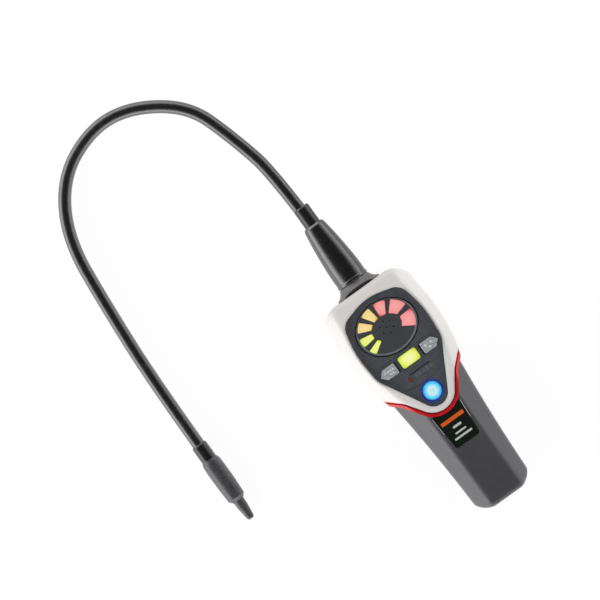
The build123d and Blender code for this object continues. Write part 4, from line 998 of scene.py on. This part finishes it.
class LEAKDETECTOR_OT_sensor_end(bpy.types.Operator):
    """Finishes the sensor holder, the nozzle and the sensor in it"""

    bl_idname = "leak_detector.sensor_end"
    bl_label = "Sensor end"

    def execute(self, context):
        holder = glossy_black("black anodised", linear(68, 67, 71), 0.36, stretch=(1, 3, 1))
        paint(holder, "sensor_holder", "sensor_cap")
        paint(turned_metal("sensor can", linear(190, 186, 170), 0.28), "sensor_element")
        paint(moulded("lead sleeve", linear(118, 118, 120), 0.5, mottle=0.05), "sensor_lead")
        paint(moulded("socket", linear(34, 34, 36), 0.5, mottle=0.1), "sensor_socket")
        return {"FINISHED"}


class LEAKDETECTOR_OT_inside(bpy.types.Operator):
    """Finishes the board, the switches, the speaker and the battery bay"""

    bl_idname = "leak_detector.inside"
    bl_label = "Inside"

    def execute(self, context):
        paint(self.board_finish(), "main_board")
        black = moulded("inner moulding", linear(40, 40, 42), 0.5, mottle=0.12)
        paint(black, "key_switches", "indicator_leds", "speaker", "battery_holder")
        spring = turned_metal("nickelled spring", linear(196, 190, 168), 0.3, (1, 1, 1))
        paint(spring, "contact_plates", "contact_leaves")
        sleeve = self.cell_finish(*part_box("battery_cell_1"))
        paint(sleeve, "battery_cell_1", "battery_cell_2", "battery_cell_3", "battery_cell_4")
        return {"FINISHED"}

    def board_finish(self):
        """Green solder mask with copper tracks that show through it."""
        green = linear(20, 84, 44)
        material, tree, shader = start_material("board", green, 0.3)
        bricks = add_node(tree, "ShaderNodeTexBrick")
        join(tree, object_place(tree), bricks.inputs["Vector"])
        bricks.inputs["Scale"].default_value = 160.0
        bricks.inputs["Mortar Size"].default_value = 0.05
        tracks = bricks.outputs["Fac"]
        join(tree, blended(tree, tracks, green, linear(52, 132, 70)), shader.inputs["Base Color"])
        join(tree, spread(tree, noise(tree, scale=500.0), 0.24, 0.4), shader.inputs["Roughness"])
        raise_surface(tree, shader, tracks, 0.03 * MM)
        shader.inputs["Coat Weight"].default_value = 0.4
        return material

    def cell_finish(self, low, high):
        """A plain blue-grey sleeve with a pale band, between the cell's bare metal ends."""
        colour = linear(64, 78, 110)
        material, tree, shader = start_material("cell sleeve", colour, 0.28)
        along = along_axis(tree, "Y")
        scuffs = noise(tree, scale=300.0, detail=4.0)
        shades = shaded(tree, spread(tree, scuffs, 0, 1), colour, 0.85, 1.15)
        past_start = calculate(tree, "GREATER_THAN", along, high.y - CELL_BAND[0])
        before_end = calculate(tree, "LESS_THAN", along, high.y - CELL_BAND[1])
        band = calculate(tree, "MULTIPLY", past_start, before_end)
        banded = blended(tree, band, shades, linear(206, 208, 210))
        head = calculate(tree, "GREATER_THAN", along, high.y - CELL_CAP)
        foot = calculate(tree, "LESS_THAN", along, low.y + CELL_CAP)
        bare = calculate(tree, "MAXIMUM", head, foot)
        join(tree, blended(tree, bare, banded, linear(196, 194, 188)), shader.inputs["Base Color"])
        join(tree, bare, shader.inputs["Metallic"])
        raise_surface(tree, shader, scuffs, 0.01 * MM)
        shader.inputs["Coat Weight"].default_value = 0.5
        return material


class LEAKDETECTOR_PT_panel(bpy.types.Panel):
    """The leak detector's pieces and settings"""

    bl_idname = "LEAKDETECTOR_PT_panel"
    bl_label = "Leak detector"
    bl_space_type = "VIEW_3D"
    bl_region_type = "UI"
    bl_category = "Leak detector"

    def draw(self, context):
        settings = context.scene.leak_detector
        for name in LeakDetectorSettings.__annotations__:
            self.layout.prop(settings, name)
        for step in STEPS:
            self.layout.operator(step.bl_idname)


STEPS = (
    LEAKDETECTOR_OT_stage,
    LEAKDETECTOR_OT_housing,
    LEAKDETECTOR_OT_panel,
    LEAKDETECTOR_OT_segments,
    LEAKDETECTOR_OT_keys,
    LEAKDETECTOR_OT_power_button,
    LEAKDETECTOR_OT_name_plate,
    LEAKDETECTOR_OT_probe_root,
    LEAKDETECTOR_OT_gooseneck,
    LEAKDETECTOR_OT_sensor_end,
    LEAKDETECTOR_OT_inside,
)
CLASSES = (LeakDetectorSettings, *STEPS, LEAKDETECTOR_PT_panel)


def register():
    for item in CLASSES:
        bpy.utils.register_class(item)
    bpy.types.Scene.leak_detector = PointerProperty(type=LeakDetectorSettings)


def unregister():
    del bpy.types.Scene.leak_detector
    for item in reversed(CLASSES):
        bpy.utils.unregister_class(item)


def main():
    register()
    bpy.ops.leak_detector.stage()
    bpy.ops.leak_detector.housing()
    bpy.ops.leak_detector.panel()
    bpy.ops.leak_detector.segments()
    bpy.ops.leak_detector.keys()
    bpy.ops.leak_detector.power_button()
    bpy.ops.leak_detector.name_plate()
    bpy.ops.leak_detector.probe_root()
    bpy.ops.leak_detector.gooseneck()
    bpy.ops.leak_detector.sensor_end()
    bpy.ops.leak_detector.inside()


if __name__ == "__main__":
    main()
